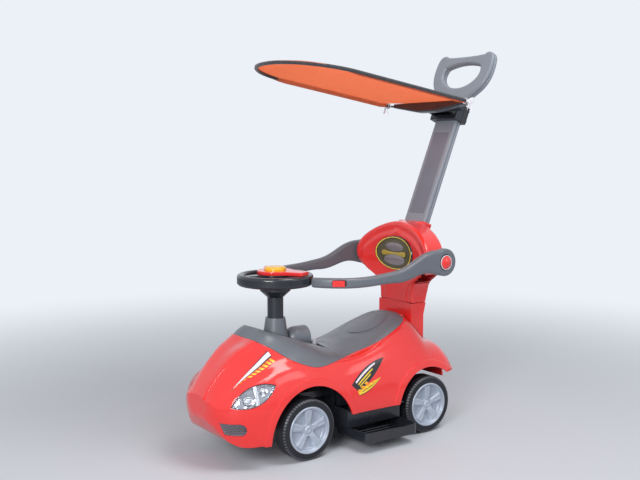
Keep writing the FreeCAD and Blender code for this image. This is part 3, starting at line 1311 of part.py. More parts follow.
def foot_rail(front):
    """Channel under the floor that one side of both footrests slides in."""
    flange_z = FOOT_LOW_Z + FOOT_HEIGHT
    low_z = flange_z - FOOT_FLANGE_THICKNESS - RUN_GAP
    if front:
        inner_y = FRONT_AXLE_Y + FOOT_FRONT - RUN_GAP
        outer_y = inner_y - FOOT_FLANGE
        wall = wide_box(RAIL_HALF_LENGTH, outer_y - RAIL_WALL, outer_y, low_z - RAIL_WALL, TRAY_LOW_Z)
        y0 = outer_y - RAIL_WALL
        y1 = inner_y
    else:
        inner_y = FRONT_AXLE_Y + FOOT_REAR + RUN_GAP
        outer_y = inner_y + FOOT_FLANGE
        wall = wide_box(RAIL_HALF_LENGTH, outer_y, outer_y + RAIL_WALL, low_z - RAIL_WALL, TRAY_LOW_Z)
        y0 = inner_y
        y1 = outer_y + RAIL_WALL
    ledge = wide_box(RAIL_HALF_LENGTH, y0, y1, low_z - RAIL_WALL, low_z)
    ceiling = wide_box(RAIL_HALF_LENGTH, y0, y1, flange_z + RUN_GAP, TRAY_LOW_Z)
    return [wall, ledge, ceiling]


def undertray():
    """Black floor: tub, rear axle box, rim under the skirts, steering platform and footrest rails."""
    front_y = FRONT_AXLE_Y + TRAY_FRONT
    rear_y = FRONT_AXLE_Y + TRAY_REAR
    tub = open_box(TRAY_HALF_WIDTH, front_y, rear_y, TRAY_LOW_Z, TRAY_TOP_Z, TRAY_WALL)
    axle_rear = FRONT_AXLE_Y + AXLE_BOX_REAR
    axle_box = open_box(AXLE_BOX_HALF_WIDTH, rear_y - TRAY_WALL, axle_rear, TRAY_LOW_Z, TRAY_TOP_Z, TRAY_WALL)
    rim = LINER.common(wide_box(BODY_HALF_WIDTH, front_y, rear_y, TRAY_TOP_Z - TRAY_WALL, TRAY_TOP_Z))
    inner_half = TRAY_HALF_WIDTH - TRAY_WALL
    rim = rim.cut(wide_box(inner_half, front_y + TRAY_WALL, rear_y - TRAY_WALL, 0, BODY_HEIGHT))
    deck_top = PLATFORM_Z + PLATFORM_THICKNESS
    nose_y = FRONT_AXLE_Y - FRONT_OVERHANG
    deck = LINER.common(wide_box(PLATFORM_HALF_WIDTH, nose_y, front_y + TRAY_WALL, PLATFORM_Z, deck_top))
    riser = wide_box(PLATFORM_HALF_WIDTH, front_y, front_y + TRAY_WALL, TRAY_LOW_Z, deck_top)
    rib_x = PLATFORM_HALF_WIDTH - RIB_THICKNESS
    rib_y = along(DASH_LIP_SHARE * 2)
    rib_top = deck_top + CARRIER_HALF_HEIGHT
    edge_rib = box(rib_x, PLATFORM_HALF_WIDTH, rib_y, front_y, PLATFORM_Z, rib_top)
    bearing = rod_z(BEARING_RADIUS, PLATFORM_Z, PLATFORM_Z + BEARING_HEIGHT, STEER_Y)
    pieces = [tub, axle_box, rim, deck, riser, edge_rib, mirrored(edge_rib), bearing]
    for share in BIN_RIB_SHARES:
        y = front_y + share * (rear_y - front_y)
        pieces.append(wide_box(TRAY_HALF_WIDTH, y, y + RIB_THICKNESS, TRAY_LOW_Z, TRAY_TOP_Z))
    tray = fused(pieces + foot_rail(True) + foot_rail(False))
    tray = tray.cut(rod_z(STEERING_SHAFT_RADIUS + BUSH_WALL, 0, BODY_HEIGHT, STEER_Y))
    return tray.cut(rod_x(AXLE_RADIUS + BUSH_WALL, -TRACK_HALF, TRACK_HALF, REAR_AXLE_Y, WHEEL_RADIUS))


def storage_bin():
    front_y = along(BIN_FRONT_SHARE)
    return open_box(BIN_HALF_WIDTH, front_y, along(BIN_REAR_SHARE), TRAY_TOP_Z, BIN_TOP_Z, BIN_WALL)


def outer_corners(block):
    """Upright edges at the outer end of a footrest block."""
    upright = [edge for edge in block.Edges if edge.BoundBox.ZLength > FOOT_HEIGHT / 2]
    return [edge for edge in upright if edge.BoundBox.XMin > FOOT_IN + FOOT_WALL * 2]


def footrest():
    """Shallow tray at the car's left with flanges that hang in the rails."""
    y0 = FRONT_AXLE_Y + FOOT_FRONT
    y1 = FRONT_AXLE_Y + FOOT_REAR
    top_z = FOOT_LOW_Z + FOOT_HEIGHT
    block = box(FOOT_IN, FOOT_OUT, y0, y1, FOOT_LOW_Z, top_z)
    block = block.makeFillet(FOOT_CORNER, outer_corners(block))
    well_in = FOOT_IN + FOOT_WALL
    floor_z = FOOT_LOW_Z + FOOT_WALL
    well = box(well_in, FOOT_OUT - FOOT_WALL, y0 + FOOT_WALL, y1 - FOOT_WALL, floor_z, top_z + OVERRUN)
    well = well.makeFillet(FOOT_CORNER - FOOT_WALL, outer_corners(well))
    flange_low = top_z - FOOT_FLANGE_THICKNESS
    flange_x = FOOT_IN + FOOT_FLANGE_LENGTH
    wings = box(FOOT_IN, flange_x, y0 - FOOT_FLANGE + RUN_GAP, y1 + FOOT_FLANGE - RUN_GAP, flange_low, top_z)
    treads = []
    tread_top = FOOT_LOW_Z + FOOT_WALL * 3 / 2
    for share in FOOT_TREAD_SHARES:
        x = FOOT_IN + share * (FOOT_OUT - FOOT_IN)
        treads.append(box(x, x + FOOT_WALL, y0 + FOOT_CORNER, y1 - FOOT_CORNER, FOOT_LOW_Z, tread_top))
    return fused([fused([block, wings]).cut(well)] + treads)


def tyre(x0, y):
    """Left wheel: hub, web, barrel, side wall and tread, turned about the axle."""
    bore = AXLE_RADIUS + SHAFT_GAP
    barrel_in = COVER_RADIUS + SEAM_GAP
    barrel_out = barrel_in + WHEEL_WEB
    tread_in = WHEEL_RADIUS - WHEEL_TREAD
    web_end = WHEEL_WEB_PLACE + WHEEL_WEB
    side_wall = WHEEL_WIDTH - WHEEL_WEB
    profile = [
        (-WHEEL_HUB_INSET, bore), (-WHEEL_HUB_INSET, WHEEL_HUB_RADIUS), (WHEEL_WEB_PLACE, WHEEL_HUB_RADIUS),
        (WHEEL_WEB_PLACE, barrel_out), (side_wall, barrel_out), (side_wall, tread_in),
        (0, tread_in), (0, WHEEL_RADIUS - WHEEL_SHOULDER), (WHEEL_SHOULDER, WHEEL_RADIUS),
        (WHEEL_WIDTH - WHEEL_SHOULDER, WHEEL_RADIUS), (WHEEL_WIDTH, WHEEL_RADIUS - WHEEL_SHOULDER),
        (WHEEL_WIDTH, barrel_in), (web_end, barrel_in), (web_end, WHEEL_HUB_RADIUS),
        (WHEEL_HUB_LENGTH, WHEEL_HUB_RADIUS), (WHEEL_HUB_LENGTH, bore),
    ]
    face = polygon([vec(x0 + t, y, WHEEL_RADIUS + r) for t, r in profile])
    return face.revolve(vec(0, y, WHEEL_RADIUS), X_AXIS, FULL_TURN)


def wheel_cover(x0, y):
    """Silver five-spoke cover for a left wheel, seated on the web inside the barrel."""
    centre = vec(0, y, WHEEL_RADIUS)
    back = x0 + WHEEL_WEB_PLACE + WHEEL_WEB
    face = x0 + WHEEL_WIDTH + COVER_LIP_PROUD
    spoke_face = back + COVER_PLATE + COVER_SPOKE_RISE
    plate = rod_x(COVER_RADIUS, back, back + COVER_PLATE, y, WHEEL_RADIUS)
    inner_radius = COVER_RADIUS - COVER_LIP
    ring = rod_x(COVER_RADIUS, back, face, y, WHEEL_RADIUS)
    ring = ring.cut(rod_x(inner_radius, back, face, y, WHEEL_RADIUS))
    hub = rod_x(COVER_HUB_RADIUS, back, spoke_face + COVER_LIP_PROUD, y, WHEEL_RADIUS)
    cap = rod_x(COVER_CAP_RADIUS, back, spoke_face + COVER_LIP_PROUD * 2, y, WHEEL_RADIUS)
    spokes = []
    grooves = []
    for index in range(COVER_SPOKES):
        angle = index * FULL_TURN / COVER_SPOKES
        root = COVER_SPOKE_ROOT / 2
        tip = COVER_SPOKE_TIP / 2
        z0 = WHEEL_RADIUS + COVER_HUB_RADIUS / 2
        z1 = WHEEL_RADIUS + inner_radius + COVER_LIP / 2
        inner_end = [vec(back, y - root, z0), vec(back, y + root, z0)]
        outer_end = [vec(back, y + tip, z1), vec(back, y - tip, z1)]
        spoke = polygon(inner_end + outer_end).extrude(vec(spoke_face - back, 0, 0))
        spokes.append(turned(spoke, centre, X_AXIS, angle))
        z2 = WHEEL_RADIUS + COVER_HUB_RADIUS + COVER_LIP
        half = COVER_GROOVE / 2
        z3 = WHEEL_RADIUS + inner_radius
        groove = box(spoke_face - COVER_LIP_PROUD, spoke_face, y - half, y + half, z2, z3)
        grooves.append(turned(groove, centre, X_AXIS, angle))
    cover = fused([plate, ring, hub, cap] + spokes).cut(grooves)
    room_end = x0 + WHEEL_HUB_LENGTH + AXLE_CAP_LENGTH + RUN_GAP * 3
    room = rod_x(AXLE_CAP_RADIUS + RUN_GAP, back, room_end, y, WHEEL_RADIUS)
    hub_room = rod_x(WHEEL_HUB_RADIUS + SEAM_GAP, back, x0 + WHEEL_HUB_LENGTH + SEAM_GAP, y, WHEEL_RADIUS)
    return cover.cut(room).cut(hub_room)


keep("steering_wheel", steering_wheel())
keep("steering_hub_cover", steering_hub_cover())
keep("horn_button", horn_button())
keep("steering_column", steering_column())
keep("steering_shaft", rod_z(STEERING_SHAFT_RADIUS, SHAFT_LOW_Z, HUB_LOW_Z, STEER_Y))
keep("front_carrier", front_carrier())
keep("front_axle", axle_bar(FRONT_AXLE_Y))
keep("front_axle_caps", axle_cap_set(FRONT_AXLE_Y))
keep("steering_bush", steering_bush())
keep("undertray", undertray())
keep("storage_bin", storage_bin())
keep("rear_axle", axle_bar(REAR_AXLE_Y))
keep("rear_axle_caps", axle_cap_set(REAR_AXLE_Y))
BUSH_END = AXLE_BOX_HALF_WIDTH + BUSH_FLANGE / 2
REAR_BUSH = rear_bush(AXLE_BOX_HALF_WIDTH - TRAY_WALL * 2, BUSH_END)
keep_pair("rear_axle_bush", REAR_BUSH)
keep_pair("footrest", footrest())
WHEEL_INNER_X = TRACK_HALF - WHEEL_WIDTH
for place, axle_y in (("front", FRONT_AXLE_Y), ("rear", REAR_AXLE_Y)):
    keep_pair("tyre_" + place, tyre(WHEEL_INNER_X, axle_y))
    keep_pair("wheel_cover_" + place, wheel_cover(WHEEL_INNER_X, axle_y))

os.makedirs("parts", exist_ok=True)
for node, shape in PARTS.items():
    shape.exportStep("parts/" + node + ".step")
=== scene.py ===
# %% [markdown]
# # A toddler's push car, dressed in Blender
# The car is a glossy red moulding on four black wheels, with a steering wheel, a hinged seat, two guard
# arms, a leaning push handle and an orange cloth canopy. Its solids come from the imported CAD model, in
# metres, with the nose along -Y and the floor at z = 0. Here each solid gets its finish, and the soft and
# printed pieces, which CAD can't draw well, are modelled in Blender.

# %% Load the frame
import json
import math
import bpy
from mathutils import Matrix, Vector

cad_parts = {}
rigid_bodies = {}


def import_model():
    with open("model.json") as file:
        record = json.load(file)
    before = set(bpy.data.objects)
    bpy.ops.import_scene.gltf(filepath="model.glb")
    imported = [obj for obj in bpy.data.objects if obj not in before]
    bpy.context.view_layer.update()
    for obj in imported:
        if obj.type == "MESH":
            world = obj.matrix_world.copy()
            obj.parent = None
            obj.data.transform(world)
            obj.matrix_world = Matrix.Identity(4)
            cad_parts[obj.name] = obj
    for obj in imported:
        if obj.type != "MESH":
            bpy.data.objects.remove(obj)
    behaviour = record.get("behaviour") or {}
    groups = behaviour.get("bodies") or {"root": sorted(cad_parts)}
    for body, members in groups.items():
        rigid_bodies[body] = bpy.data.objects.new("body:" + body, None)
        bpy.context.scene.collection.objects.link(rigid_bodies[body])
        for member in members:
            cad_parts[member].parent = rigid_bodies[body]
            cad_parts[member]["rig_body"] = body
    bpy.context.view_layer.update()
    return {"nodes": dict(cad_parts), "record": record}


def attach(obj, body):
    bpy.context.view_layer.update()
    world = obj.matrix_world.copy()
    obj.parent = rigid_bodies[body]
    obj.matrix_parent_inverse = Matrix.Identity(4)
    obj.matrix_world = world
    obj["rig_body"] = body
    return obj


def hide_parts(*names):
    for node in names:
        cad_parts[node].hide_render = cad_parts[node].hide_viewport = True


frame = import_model()
nodes = frame["nodes"]

# %% [markdown]
# ## Handling one piece at a time
# Every operator works on whatever is selected, and loading leaves all CAD nodes selected. So each step
# starts by taking hold of one piece alone. A finished piece has its place in its mesh, so its object sits
# unturned at the origin, as a CAD node's does.

# %% Helpers for one piece
def drop_all():
    """Let go of everything, so that a new primitive starts alone."""
    active = bpy.context.view_layer.objects.active
    if active is not None and active.mode != "OBJECT":
        bpy.ops.object.mode_set(mode="OBJECT")
    bpy.ops.object.select_all(action="DESELECT")


def hold(piece):
    """Make one piece the only selected and the active one, in object mode."""
    drop_all()
    piece.select_set(True)
    bpy.context.view_layer.objects.active = piece


def open_up(piece):
    """Take one piece into edit mode with all of it selected."""
    hold(piece)
    bpy.ops.object.mode_set(mode="EDIT")
    bpy.ops.mesh.select_all(action="SELECT")


def placed(name, data):
    """A new object for a mesh, curve, lamp or camera, in the scene."""
    thing = bpy.data.objects.new(name, data)
    bpy.context.scene.collection.objects.link(thing)
    return thing


def apply_modifiers(piece):
    hold(piece)
    for name in [m.name for m in piece.modifiers]:
        bpy.ops.object.modifier_apply(modifier=name)


def settle(piece):
    """Move a piece's place into its mesh."""
    hold(piece)
    bpy.ops.object.transform_apply(location=True, rotation=True, scale=True)


def dress(piece, material):
    piece.data.materials.clear()
    piece.data.materials.append(material)


def joined(name, pieces):
    """Several meshes as one piece."""
    drop_all()
    for piece in pieces:
        piece.select_set(True)
    bpy.context.view_layer.objects.active = pieces[0]
    bpy.ops.object.join()
    whole = bpy.context.object
    whole.name = name
    return whole


# %% [markdown]
# ## Wiring shader nodes
# The finishes, the world's light and the floor are all node trees. Four helpers keep them short: one adds a
# node with its settings, one joins nodes by their sockets, one starts a new finish, and one completes a
# colour.

# %% Helpers for node trees
def add_node(tree, kind, values=(), **settings):
    """A node with its settings and the values of its inputs."""
    node = tree.nodes.new(kind)
    for key, value in settings.items():
        setattr(node, key, value)
    for socket, value in dict(values).items():
        node.inputs[socket].default_value = value
    return node


def wire(tree, *runs):
    """Join nodes: each run names a node, its output, the next node and its input."""
    for source, output, target, entry in runs:
        tree.links.new(source.outputs[output], target.inputs[entry])


def new_finish(name, values):
    """A material, its node tree and its Principled shader with some values set."""
    material = bpy.data.materials.new(name)
    material.use_nodes = True
    shader = material.node_tree.nodes["Principled BSDF"]
    for socket, value in values.items():
        shader.inputs[socket].default_value = value
    return material, material.node_tree, shader


def paint(colour):
    """A colour with the full alpha that a colour socket wants."""
    return (*colour, 1.0)


# %% [markdown]
# ## Camera, floor and studio light
# The camera stands where the photograph was taken from: in front of the car's left side, a little above it,
# with a lens of about 50 mm. A wide pale floor runs to the horizon and fades into the world's pale tone, so
# that the car stands in an even, bright studio. A soft lamp above, a stronger one in front, a weak one at
# the side and the world's own light give long soft highlights on the mouldings, as a light tent does.

# %% Camera
CAMERA_AZIMUTH = math.radians(54.47)
CAMERA_PITCH = math.radians(5.72)
CAMERA_PLACE = (1.8664, -1.4191, 0.7452)


def aim(holder, place, direction):
    """Put a camera or lamp at a place and turn it to look along a direction."""
    holder.location = place
    holder.rotation_mode = "QUATERNION"
    holder.rotation_quaternion = direction.to_track_quat("-Z", "Y")


camera_data = bpy.data.cameras.new("studio_camera")
camera_data.sensor_width = 36.0
camera_data.lens = 50.625
camera = placed("studio_camera", camera_data)
level = math.cos(CAMERA_PITCH)
back = Vector((math.sin(CAMERA_AZIMUTH) * level, -math.cos(CAMERA_AZIMUTH) * level, math.sin(CAMERA_PITCH)))
aim(camera, CAMERA_PLACE, -back)
bpy.context.scene.camera = camera
bpy.context.scene.view_settings.view_transform = "Standard"
print("camera at", CAMERA_PLACE)

# %% Lamps
def soft_lamp(name, place, target, width, power, colour):
    """A square area lamp turned to a target."""
    lamp = bpy.data.lights.new(name, "AREA")
    lamp.shape = "RECTANGLE"
    lamp.size = width
    lamp.size_y = width
    lamp.energy = power
    lamp.color = colour
    aim(placed(name, lamp), place, Vector(target) - Vector(place))


soft_lamp("lamp_above", (1.2, 0.4, 2.9), (0, 0, 0.3), 1.4, 40, (1.0, 0.99, 0.97))
soft_lamp("lamp_front", (1.8, -2.6, 1.4), (0, 0, 0.45), 1.2, 66, (1.0, 1.0, 1.0))
soft_lamp("lamp_side", (2.8, 1.4, 1.7), (0, 0, 0.4), 1.1, 7, (0.96, 0.98, 1.0))
print("three lamps")

# %% World
PALE = (0.84, 0.88, 0.94)
WORLD_LIGHT = 0.36
world = bpy.data.worlds.new("studio")
bpy.context.scene.world = world
world.use_nodes = True
tree = world.node_tree
tree.nodes.clear()
out = add_node(tree, "ShaderNodeOutputWorld")
lit = add_node(tree, "ShaderNodeBackground", {"Color": paint((0.93, 0.96, 1.0)), "Strength": WORLD_LIGHT})
seen = add_node(tree, "ShaderNodeBackground", {"Color": paint(PALE), "Strength": 1.0})
path = add_node(tree, "ShaderNodeLightPath")
mirrored = add_node(tree, "ShaderNodeMath", operation="MAXIMUM")
shown = add_node(tree, "ShaderNodeMath", operation="MAXIMUM")
pick = add_node(tree, "ShaderNodeMixShader")
wire(tree, (path, "Is Glossy Ray", mirrored, 0), (path, "Is Transmission Ray", mirrored, 1),
     (path, "Is Camera Ray", shown, 0), (mirrored, "Value", shown, 1), (shown, "Value", pick, "Fac"),
     (lit, "Background", pick, 1), (seen, "Background", pick, 2), (pick, "Shader", out, "Surface"))
print("world lit at", WORLD_LIGHT)

# %% Floor
FLOOR_RADIUS = 14.0
FLOOR_Z = -0.0005
FADE_START = 0.75
FADE_END = 2.6
drop_all()
bpy.ops.mesh.primitive_circle_add(
    vertices=96, radius=FLOOR_RADIUS, fill_type="NGON", location=(0, 0, FLOOR_Z))
floor = bpy.context.object
floor.name = "studio_floor"
settle(floor)
floor_paint, tree, shader = new_finish(
    "studio_floor", {"Base Color": paint((0.63, 0.65, 0.70)), "Specular IOR Level": 0.08, "Roughness": 0.55})
place = add_node(tree, "ShaderNodeTexCoord")
away = add_node(tree, "ShaderNodeVectorMath", operation="LENGTH")
fade = add_node(tree, "ShaderNodeMapRange", {"From Min": FADE_START, "From Max": FADE_END},
                interpolation_type="SMOOTHSTEP")
path = add_node(tree, "ShaderNodeLightPath")
seen_fade = add_node(tree, "ShaderNodeMath", operation="MULTIPLY")
haze = add_node(tree, "ShaderNodeEmission", {"Color": paint(PALE)})
blend = add_node(tree, "ShaderNodeMixShader")
wire(tree, (place, "Object", away, 0), (away, "Value", fade, "Value"), (fade, "Result", seen_fade, 0),
     (path, "Is Camera Ray", seen_fade, 1), (seen_fade, "Value", blend, "Fac"), (shader, "BSDF", blend, 1),
     (haze, "Emission", blend, 2), (blend, "Shader", tree.nodes["Material Output"], "Surface"))
dress(floor, floor_paint)
print("studio ready")

# %% [markdown]
# ## The skin of moulded plastic
# Injection-moulded and blown plastic is never one flat colour: its tone drifts a little over a hand's
# breadth, handling leaves faint dull patches, and the surface has a fine ripple called orange peel. One
# node group makes these three effects for all plastics. Each finish then sets its own colours, gloss and
# grain. The places are read from Object coordinates, in metres, so a scale of 1000 gives features of about
# a millimetre.

# %% Node group for plastics
NEUTRAL = (0.5, 0.5, 0.5, 1)


def new_group(name, inputs, outputs):
    """A shader node group with named sockets, and its inner input and output nodes."""
    group = bpy.data.node_groups.new(name, "ShaderNodeTree")
    for label, value in inputs:
        kind = "NodeSocketColor" if isinstance(value, tuple) else "NodeSocketFloat"
        group.interface.new_socket(label, in_out="INPUT", socket_type=kind).default_value = value
    for label, kind in outputs:
        group.interface.new_socket(label, in_out="OUTPUT", socket_type=kind)
    return group, add_node(group, "NodeGroupInput"), add_node(group, "NodeGroupOutput")


skin_group, into, outof = new_group(
    "moulded_skin",
    [("Colour", NEUTRAL), ("Drift colour", NEUTRAL), ("Gloss roughness", 0.2), ("Rubbed roughness", 0.35),
     ("Grain scale", 900.0), ("Drift scale", 7.0)],
    [("Colour", "NodeSocketColor"), ("Roughness", "NodeSocketFloat"), ("Height", "NodeSocketFloat")])
place = add_node(skin_group, "ShaderNodeTexCoord")
drift = add_node(skin_group, "ShaderNodeTexNoise", {"Detail": 3.0})
drift_range = add_node(skin_group, "ShaderNodeMapRange", {"From Min": 0.32, "From Max": 0.68})
rub = add_node(skin_group, "ShaderNodeTexNoise", {"Scale": 23.0, "Detail": 6.0, "Roughness": 0.7})
rub_range = add_node(skin_group, "ShaderNodeMapRange", {"From Min": 0.42, "From Max": 0.72})
grain = add_node(skin_group, "ShaderNodeTexNoise", {"Detail": 2.0})
tone = add_node(skin_group, "ShaderNodeMix", data_type="RGBA")
gloss = add_node(skin_group, "ShaderNodeMix", data_type="FLOAT")
for noise in (drift, rub, grain):
    wire(skin_group, (place, "Object", noise, "Vector"))
wire(skin_group, (into, "Drift scale", drift, "Scale"), (into, "Grain scale", grain, "Scale"),
     (drift, "Fac", drift_range, "Value"), (drift_range, "Result", tone, "Factor"),
     (into, "Colour", tone, "A"), (into, "Drift colour", tone, "B"), (tone, "Result", outof, "Colour"),
     (rub, "Fac", rub_range, "Value"), (rub_range, "Result", gloss, "Factor"),
     (into, "Gloss roughness", gloss, "A"), (into, "Rubbed roughness", gloss, "B"),
     (gloss, "Result", outof, "Roughness"), (grain, "Fac", outof, "Height"))
print("skin group", len(skin_group.nodes), "nodes")


# %% Moulded finishes
def moulded(name, colour, drift, roughness, grain, coat=0.0, metallic=0.0, specular=0.5):
    """A plastic: colour and its drift, gloss and rubbed roughness, grain scale, strength and depth."""
    material, tree, shader = new_finish(name, {
        "Coat Weight": coat, "Coat Roughness": 0.05, "Metallic": metallic, "Specular IOR Level": specular})
    gloss, rubbed = roughness
    scale, strength, depth = grain
    skin = add_node(tree, "ShaderNodeGroup", {
        "Colour": paint(colour), "Drift colour": paint(drift), "Gloss roughness": gloss,
        "Rubbed roughness": rubbed, "Grain scale": scale}, node_tree=skin_group)
    bump = add_node(tree, "ShaderNodeBump", {"Strength": strength, "Distance": depth})
    wire(tree, (skin, "Colour", shader, "Base Color"), (skin, "Roughness", shader, "Roughness"),
         (skin, "Height", bump, "Height"), (bump, "Normal", shader, "Normal"))
    return material


red = moulded("red_moulding", (0.84, 0.032, 0.029), (0.79, 0.024, 0.021), (0.13, 0.21),
              (420, 0.08, 0.0006), coat=0.45)
dark_grey = moulded("dark_grey_moulding", (0.138, 0.152, 0.178), (0.128, 0.142, 0.166), (0.30, 0.42),
                    (1500, 0.28, 0.0005), coat=0.06)
handle_grey = moulded("handle_grey_moulding", (0.255, 0.285, 0.330), (0.228, 0.256, 0.300), (0.34, 0.45),
                      (1500, 0.25, 0.0005), coat=0.05)
inlay_grey = moulded("inlay_grey_moulding", (0.185, 0.202, 0.250), (0.162, 0.178, 0.222), (0.46, 0.58),
                     (2200, 0.35, 0.0004))
black = moulded("black_moulding", (0.012, 0.0145, 0.020), (0.018, 0.021, 0.028), (0.20, 0.34),
                (900, 0.14, 0.0005), coat=0.2)
gloss_black = moulded("gloss_black_moulding", (0.016, 0.019, 0.026), (0.022, 0.026, 0.034), (0.10, 0.20),
                      (700, 0.08, 0.0004), coat=0.5)
bush_white = moulded("bush_plastic", (0.70, 0.70, 0.68), (0.64, 0.64, 0.61), (0.42, 0.55),
                     (1200, 0.15, 0.0004))
tyre_black = moulded("tyre_plastic", (0.011, 0.0125, 0.017), (0.019, 0.021, 0.027), (0.36, 0.58),
                     (1300, 0.35, 0.0006), specular=0.3)
silver = moulded("silver_plastic", (0.45, 0.50, 0.58), (0.39, 0.44, 0.52), (0.28, 0.40),
                 (1700, 0.08, 0.0004), coat=0.1, metallic=0.25)
yellow = moulded("yellow_moulding", (0.90, 0.52, 0.015), (0.82, 0.44, 0.010), (0.20, 0.32),
                 (700, 0.12, 0.0005), coat=0.2)
catch_grey = moulded("catch_and_highlight_moulding", (0.56, 0.57, 0.60), (0.49, 0.50, 0.53), (0.20, 0.32),
                     (900, 0.12, 0.0004), coat=0.2)
print("plastics made")

# %% [markdown]
# ## Metal and clear plastic
# The headlight bowls are metallised inside, the screws and axles are zinc-plated steel, and the lenses are
# clear plastic. The metals are full Metallic with a fine hammered bump. The lens is a transmission shader
# with a slight waviness, so that the bowl behind it sparkles.

# %% Metals and lens
def metal(name, colour, roughness, scale, depth):
    """A metal finish: colour, least and most roughness, scale and depth of its bump."""
    material, tree, shader = new_finish(name, {"Metallic": 1.0, "Base Color": paint(colour)})
    smooth, rough = roughness
    place = add_node(tree, "ShaderNodeTexCoord")
    noise = add_node(tree, "ShaderNodeTexNoise", {"Scale": scale, "Detail": 4.0})
    spread = add_node(tree, "ShaderNodeMapRange", {"To Min": smooth, "To Max": rough})
    bump = add_node(tree, "ShaderNodeBump", {"Strength": 0.35, "Distance": depth})
    wire(tree, (place, "Object", noise, "Vector"), (noise, "Fac", spread, "Value"),
         (spread, "Result", shader, "Roughness"), (noise, "Fac", bump, "Height"),
         (bump, "Normal", shader, "Normal"))
    return material


steel = metal("zinc_plated_steel", (0.56, 0.56, 0.57), (0.22, 0.42), 700, 0.0003)
chrome = metal("metallised_bowl", (0.50, 0.51, 0.54), (0.05, 0.14), 90, 0.0015)
lens, tree, shader = new_finish("clear_lens", {
    "Base Color": paint((0.96, 0.97, 0.99)), "Transmission Weight": 1.0, "Roughness": 0.03, "IOR": 1.2})
place = add_node(tree, "ShaderNodeTexCoord")
wave = add_node(tree, "ShaderNodeTexNoise", {"Scale": 60.0})
bump = add_node(tree, "ShaderNodeBump", {"Strength": 0.08, "Distance": 0.001})
wire(tree, (place, "Object", wave, "Vector"), (wave, "Fac", bump, "Height"),
     (bump, "Normal", shader, "Normal"))
print("metals and lens made")

# %% [markdown]
# ## Which finish each solid takes
# The record names a material slot for each CAD node, so the finishes are handed out by slot. Only the
# canopy's bracket and wire are glossier than the other black pieces. The solid of the cloth is replaced
# further down.

# %% Finishes by slot
FINISH = {
    "red": red, "dark_grey": dark_grey, "handle_grey": handle_grey, "inlay_grey": inlay_grey,
    "black": black, "bush_white": bush_white, "tyre_black": tyre_black, "silver": silver, "yellow": yellow,
    "badge": inlay_grey, "catch_grey": catch_grey, "clear": lens, "reflector": chrome, "steel": steel,
    "orange_cloth": red,
}
node_slot = {part["node"]: part["material_slot"] for part in frame["record"]["subparts"]}
for name, solid in nodes.items():
    dress(solid, FINISH[node_slot[name]])
for name in ("canopy_bracket", "canopy_hoop"):
    dress(nodes[name], gloss_black)
print("dressed", len(nodes), "CAD nodes")

# %% [markdown]
# ## Rounded mouldings
# A real moulding has no knife edges: every rim is rounded by a millimetre or so, and that thin round is
# what catches the light and draws the shape. The CAD solids have crisp edges and come as loose triangles.
# So a copy of each visible moulding is welded, its flat areas are merged into single faces, its sharp edges
# are bevelled and it is shaded smooth, with the large faces leading so that highlights run evenly. The copy
# stands for the CAD node, which stays for the collisions.

# %% Rounded copies
WELD = 0.00002
FLAT_ANGLE = math.radians(0.4)
SHARP_ANGLE = math.radians(34)


def welded_copy(node):
    """A copy of a CAD node whose loose triangles are welded into one skin."""
    piece = placed(node + "_skin", nodes[node].data.copy())
    open_up(piece)
    bpy.ops.mesh.customdata_custom_splitnormals_clear()
    bpy.ops.mesh.remove_doubles(threshold=WELD)
    bpy.ops.object.mode_set(mode="OBJECT")
    return piece


def stands_for(piece, *parts):
    """Let a piece ride where its CAD nodes ride, and take their place."""
    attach(piece, nodes[parts[0]]["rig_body"])
    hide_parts(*parts)
    return piece


def rounded_copy(node, width):
    """A welded copy of a CAD node with its flats merged and its sharp edges rounded."""
    piece = welded_copy(node)
    open_up(piece)
    bpy.ops.mesh.dissolve_limited(angle_limit=FLAT_ANGLE)
    bpy.ops.object.mode_set(mode="OBJECT")
    bevel = piece.modifiers.new("rounded_edges", "BEVEL")
    bevel.width = width
    bevel.segments = 2
    bevel.limit_method = "ANGLE"
    bevel.angle_limit = SHARP_ANGLE
    bevel.use_clamp_overlap = False
    bevel.miter_outer = "MITER_ARC"
    apply_modifiers(piece)
    bpy.ops.object.shade_smooth_by_angle(angle=SHARP_ANGLE)
    shading = piece.modifiers.new("large_faces_lead", "WEIGHTED_NORMAL")
    shading.keep_sharp = True
    apply_modifiers(piece)
    return stands_for(piece, node)


ROUND_OVER = {
    "body_shell": 0.0011, "dash_panel": 0.0010, "column_collar": 0.0010, "seat_lid": 0.0012,
    "seat_catch": 0.0012, "arm_latch_left": 0.0006, "arm_latch_right": 0.0006,
    "canopy_clamp_front": 0.0012, "canopy_clamp_rear": 0.0012, "canopy_bracket": 0.0012,
    "canopy_knob": 0.0005,
    "steering_wheel": 0.0012, "horn_button": 0.0008, "steering_column": 0.0008,
    "undertray": 0.0008, "footrest_left": 0.0010, "footrest_right": 0.0010,
    "tyre_front_left": 0.0009, "tyre_front_right": 0.0009,
    "tyre_rear_left": 0.0009, "tyre_rear_right": 0.0009,
}
skins = {node: rounded_copy(node, width) for node, width in ROUND_OVER.items()}
print("rounded", len(skins), "mouldings,", sum(len(p.data.polygons) for p in skins.values()), "faces")

# %% [markdown]
# ## Blown mouldings
# The backrest, the guard arms and the handle are blown hollow, so all their edges are soft rounds of
# several millimetres, too broad for a bevel where many small faces meet. Their copies are rebuilt instead:
# Remesh wraps an even skin of small squares round the solid, and a few rounds of Smooth relax it, which
# rounds every edge alike. The thin halves of the backrest are joined first, because a wall thinner than a
# square would break up. The cover of the steering wheel's hub is softened in the same way.

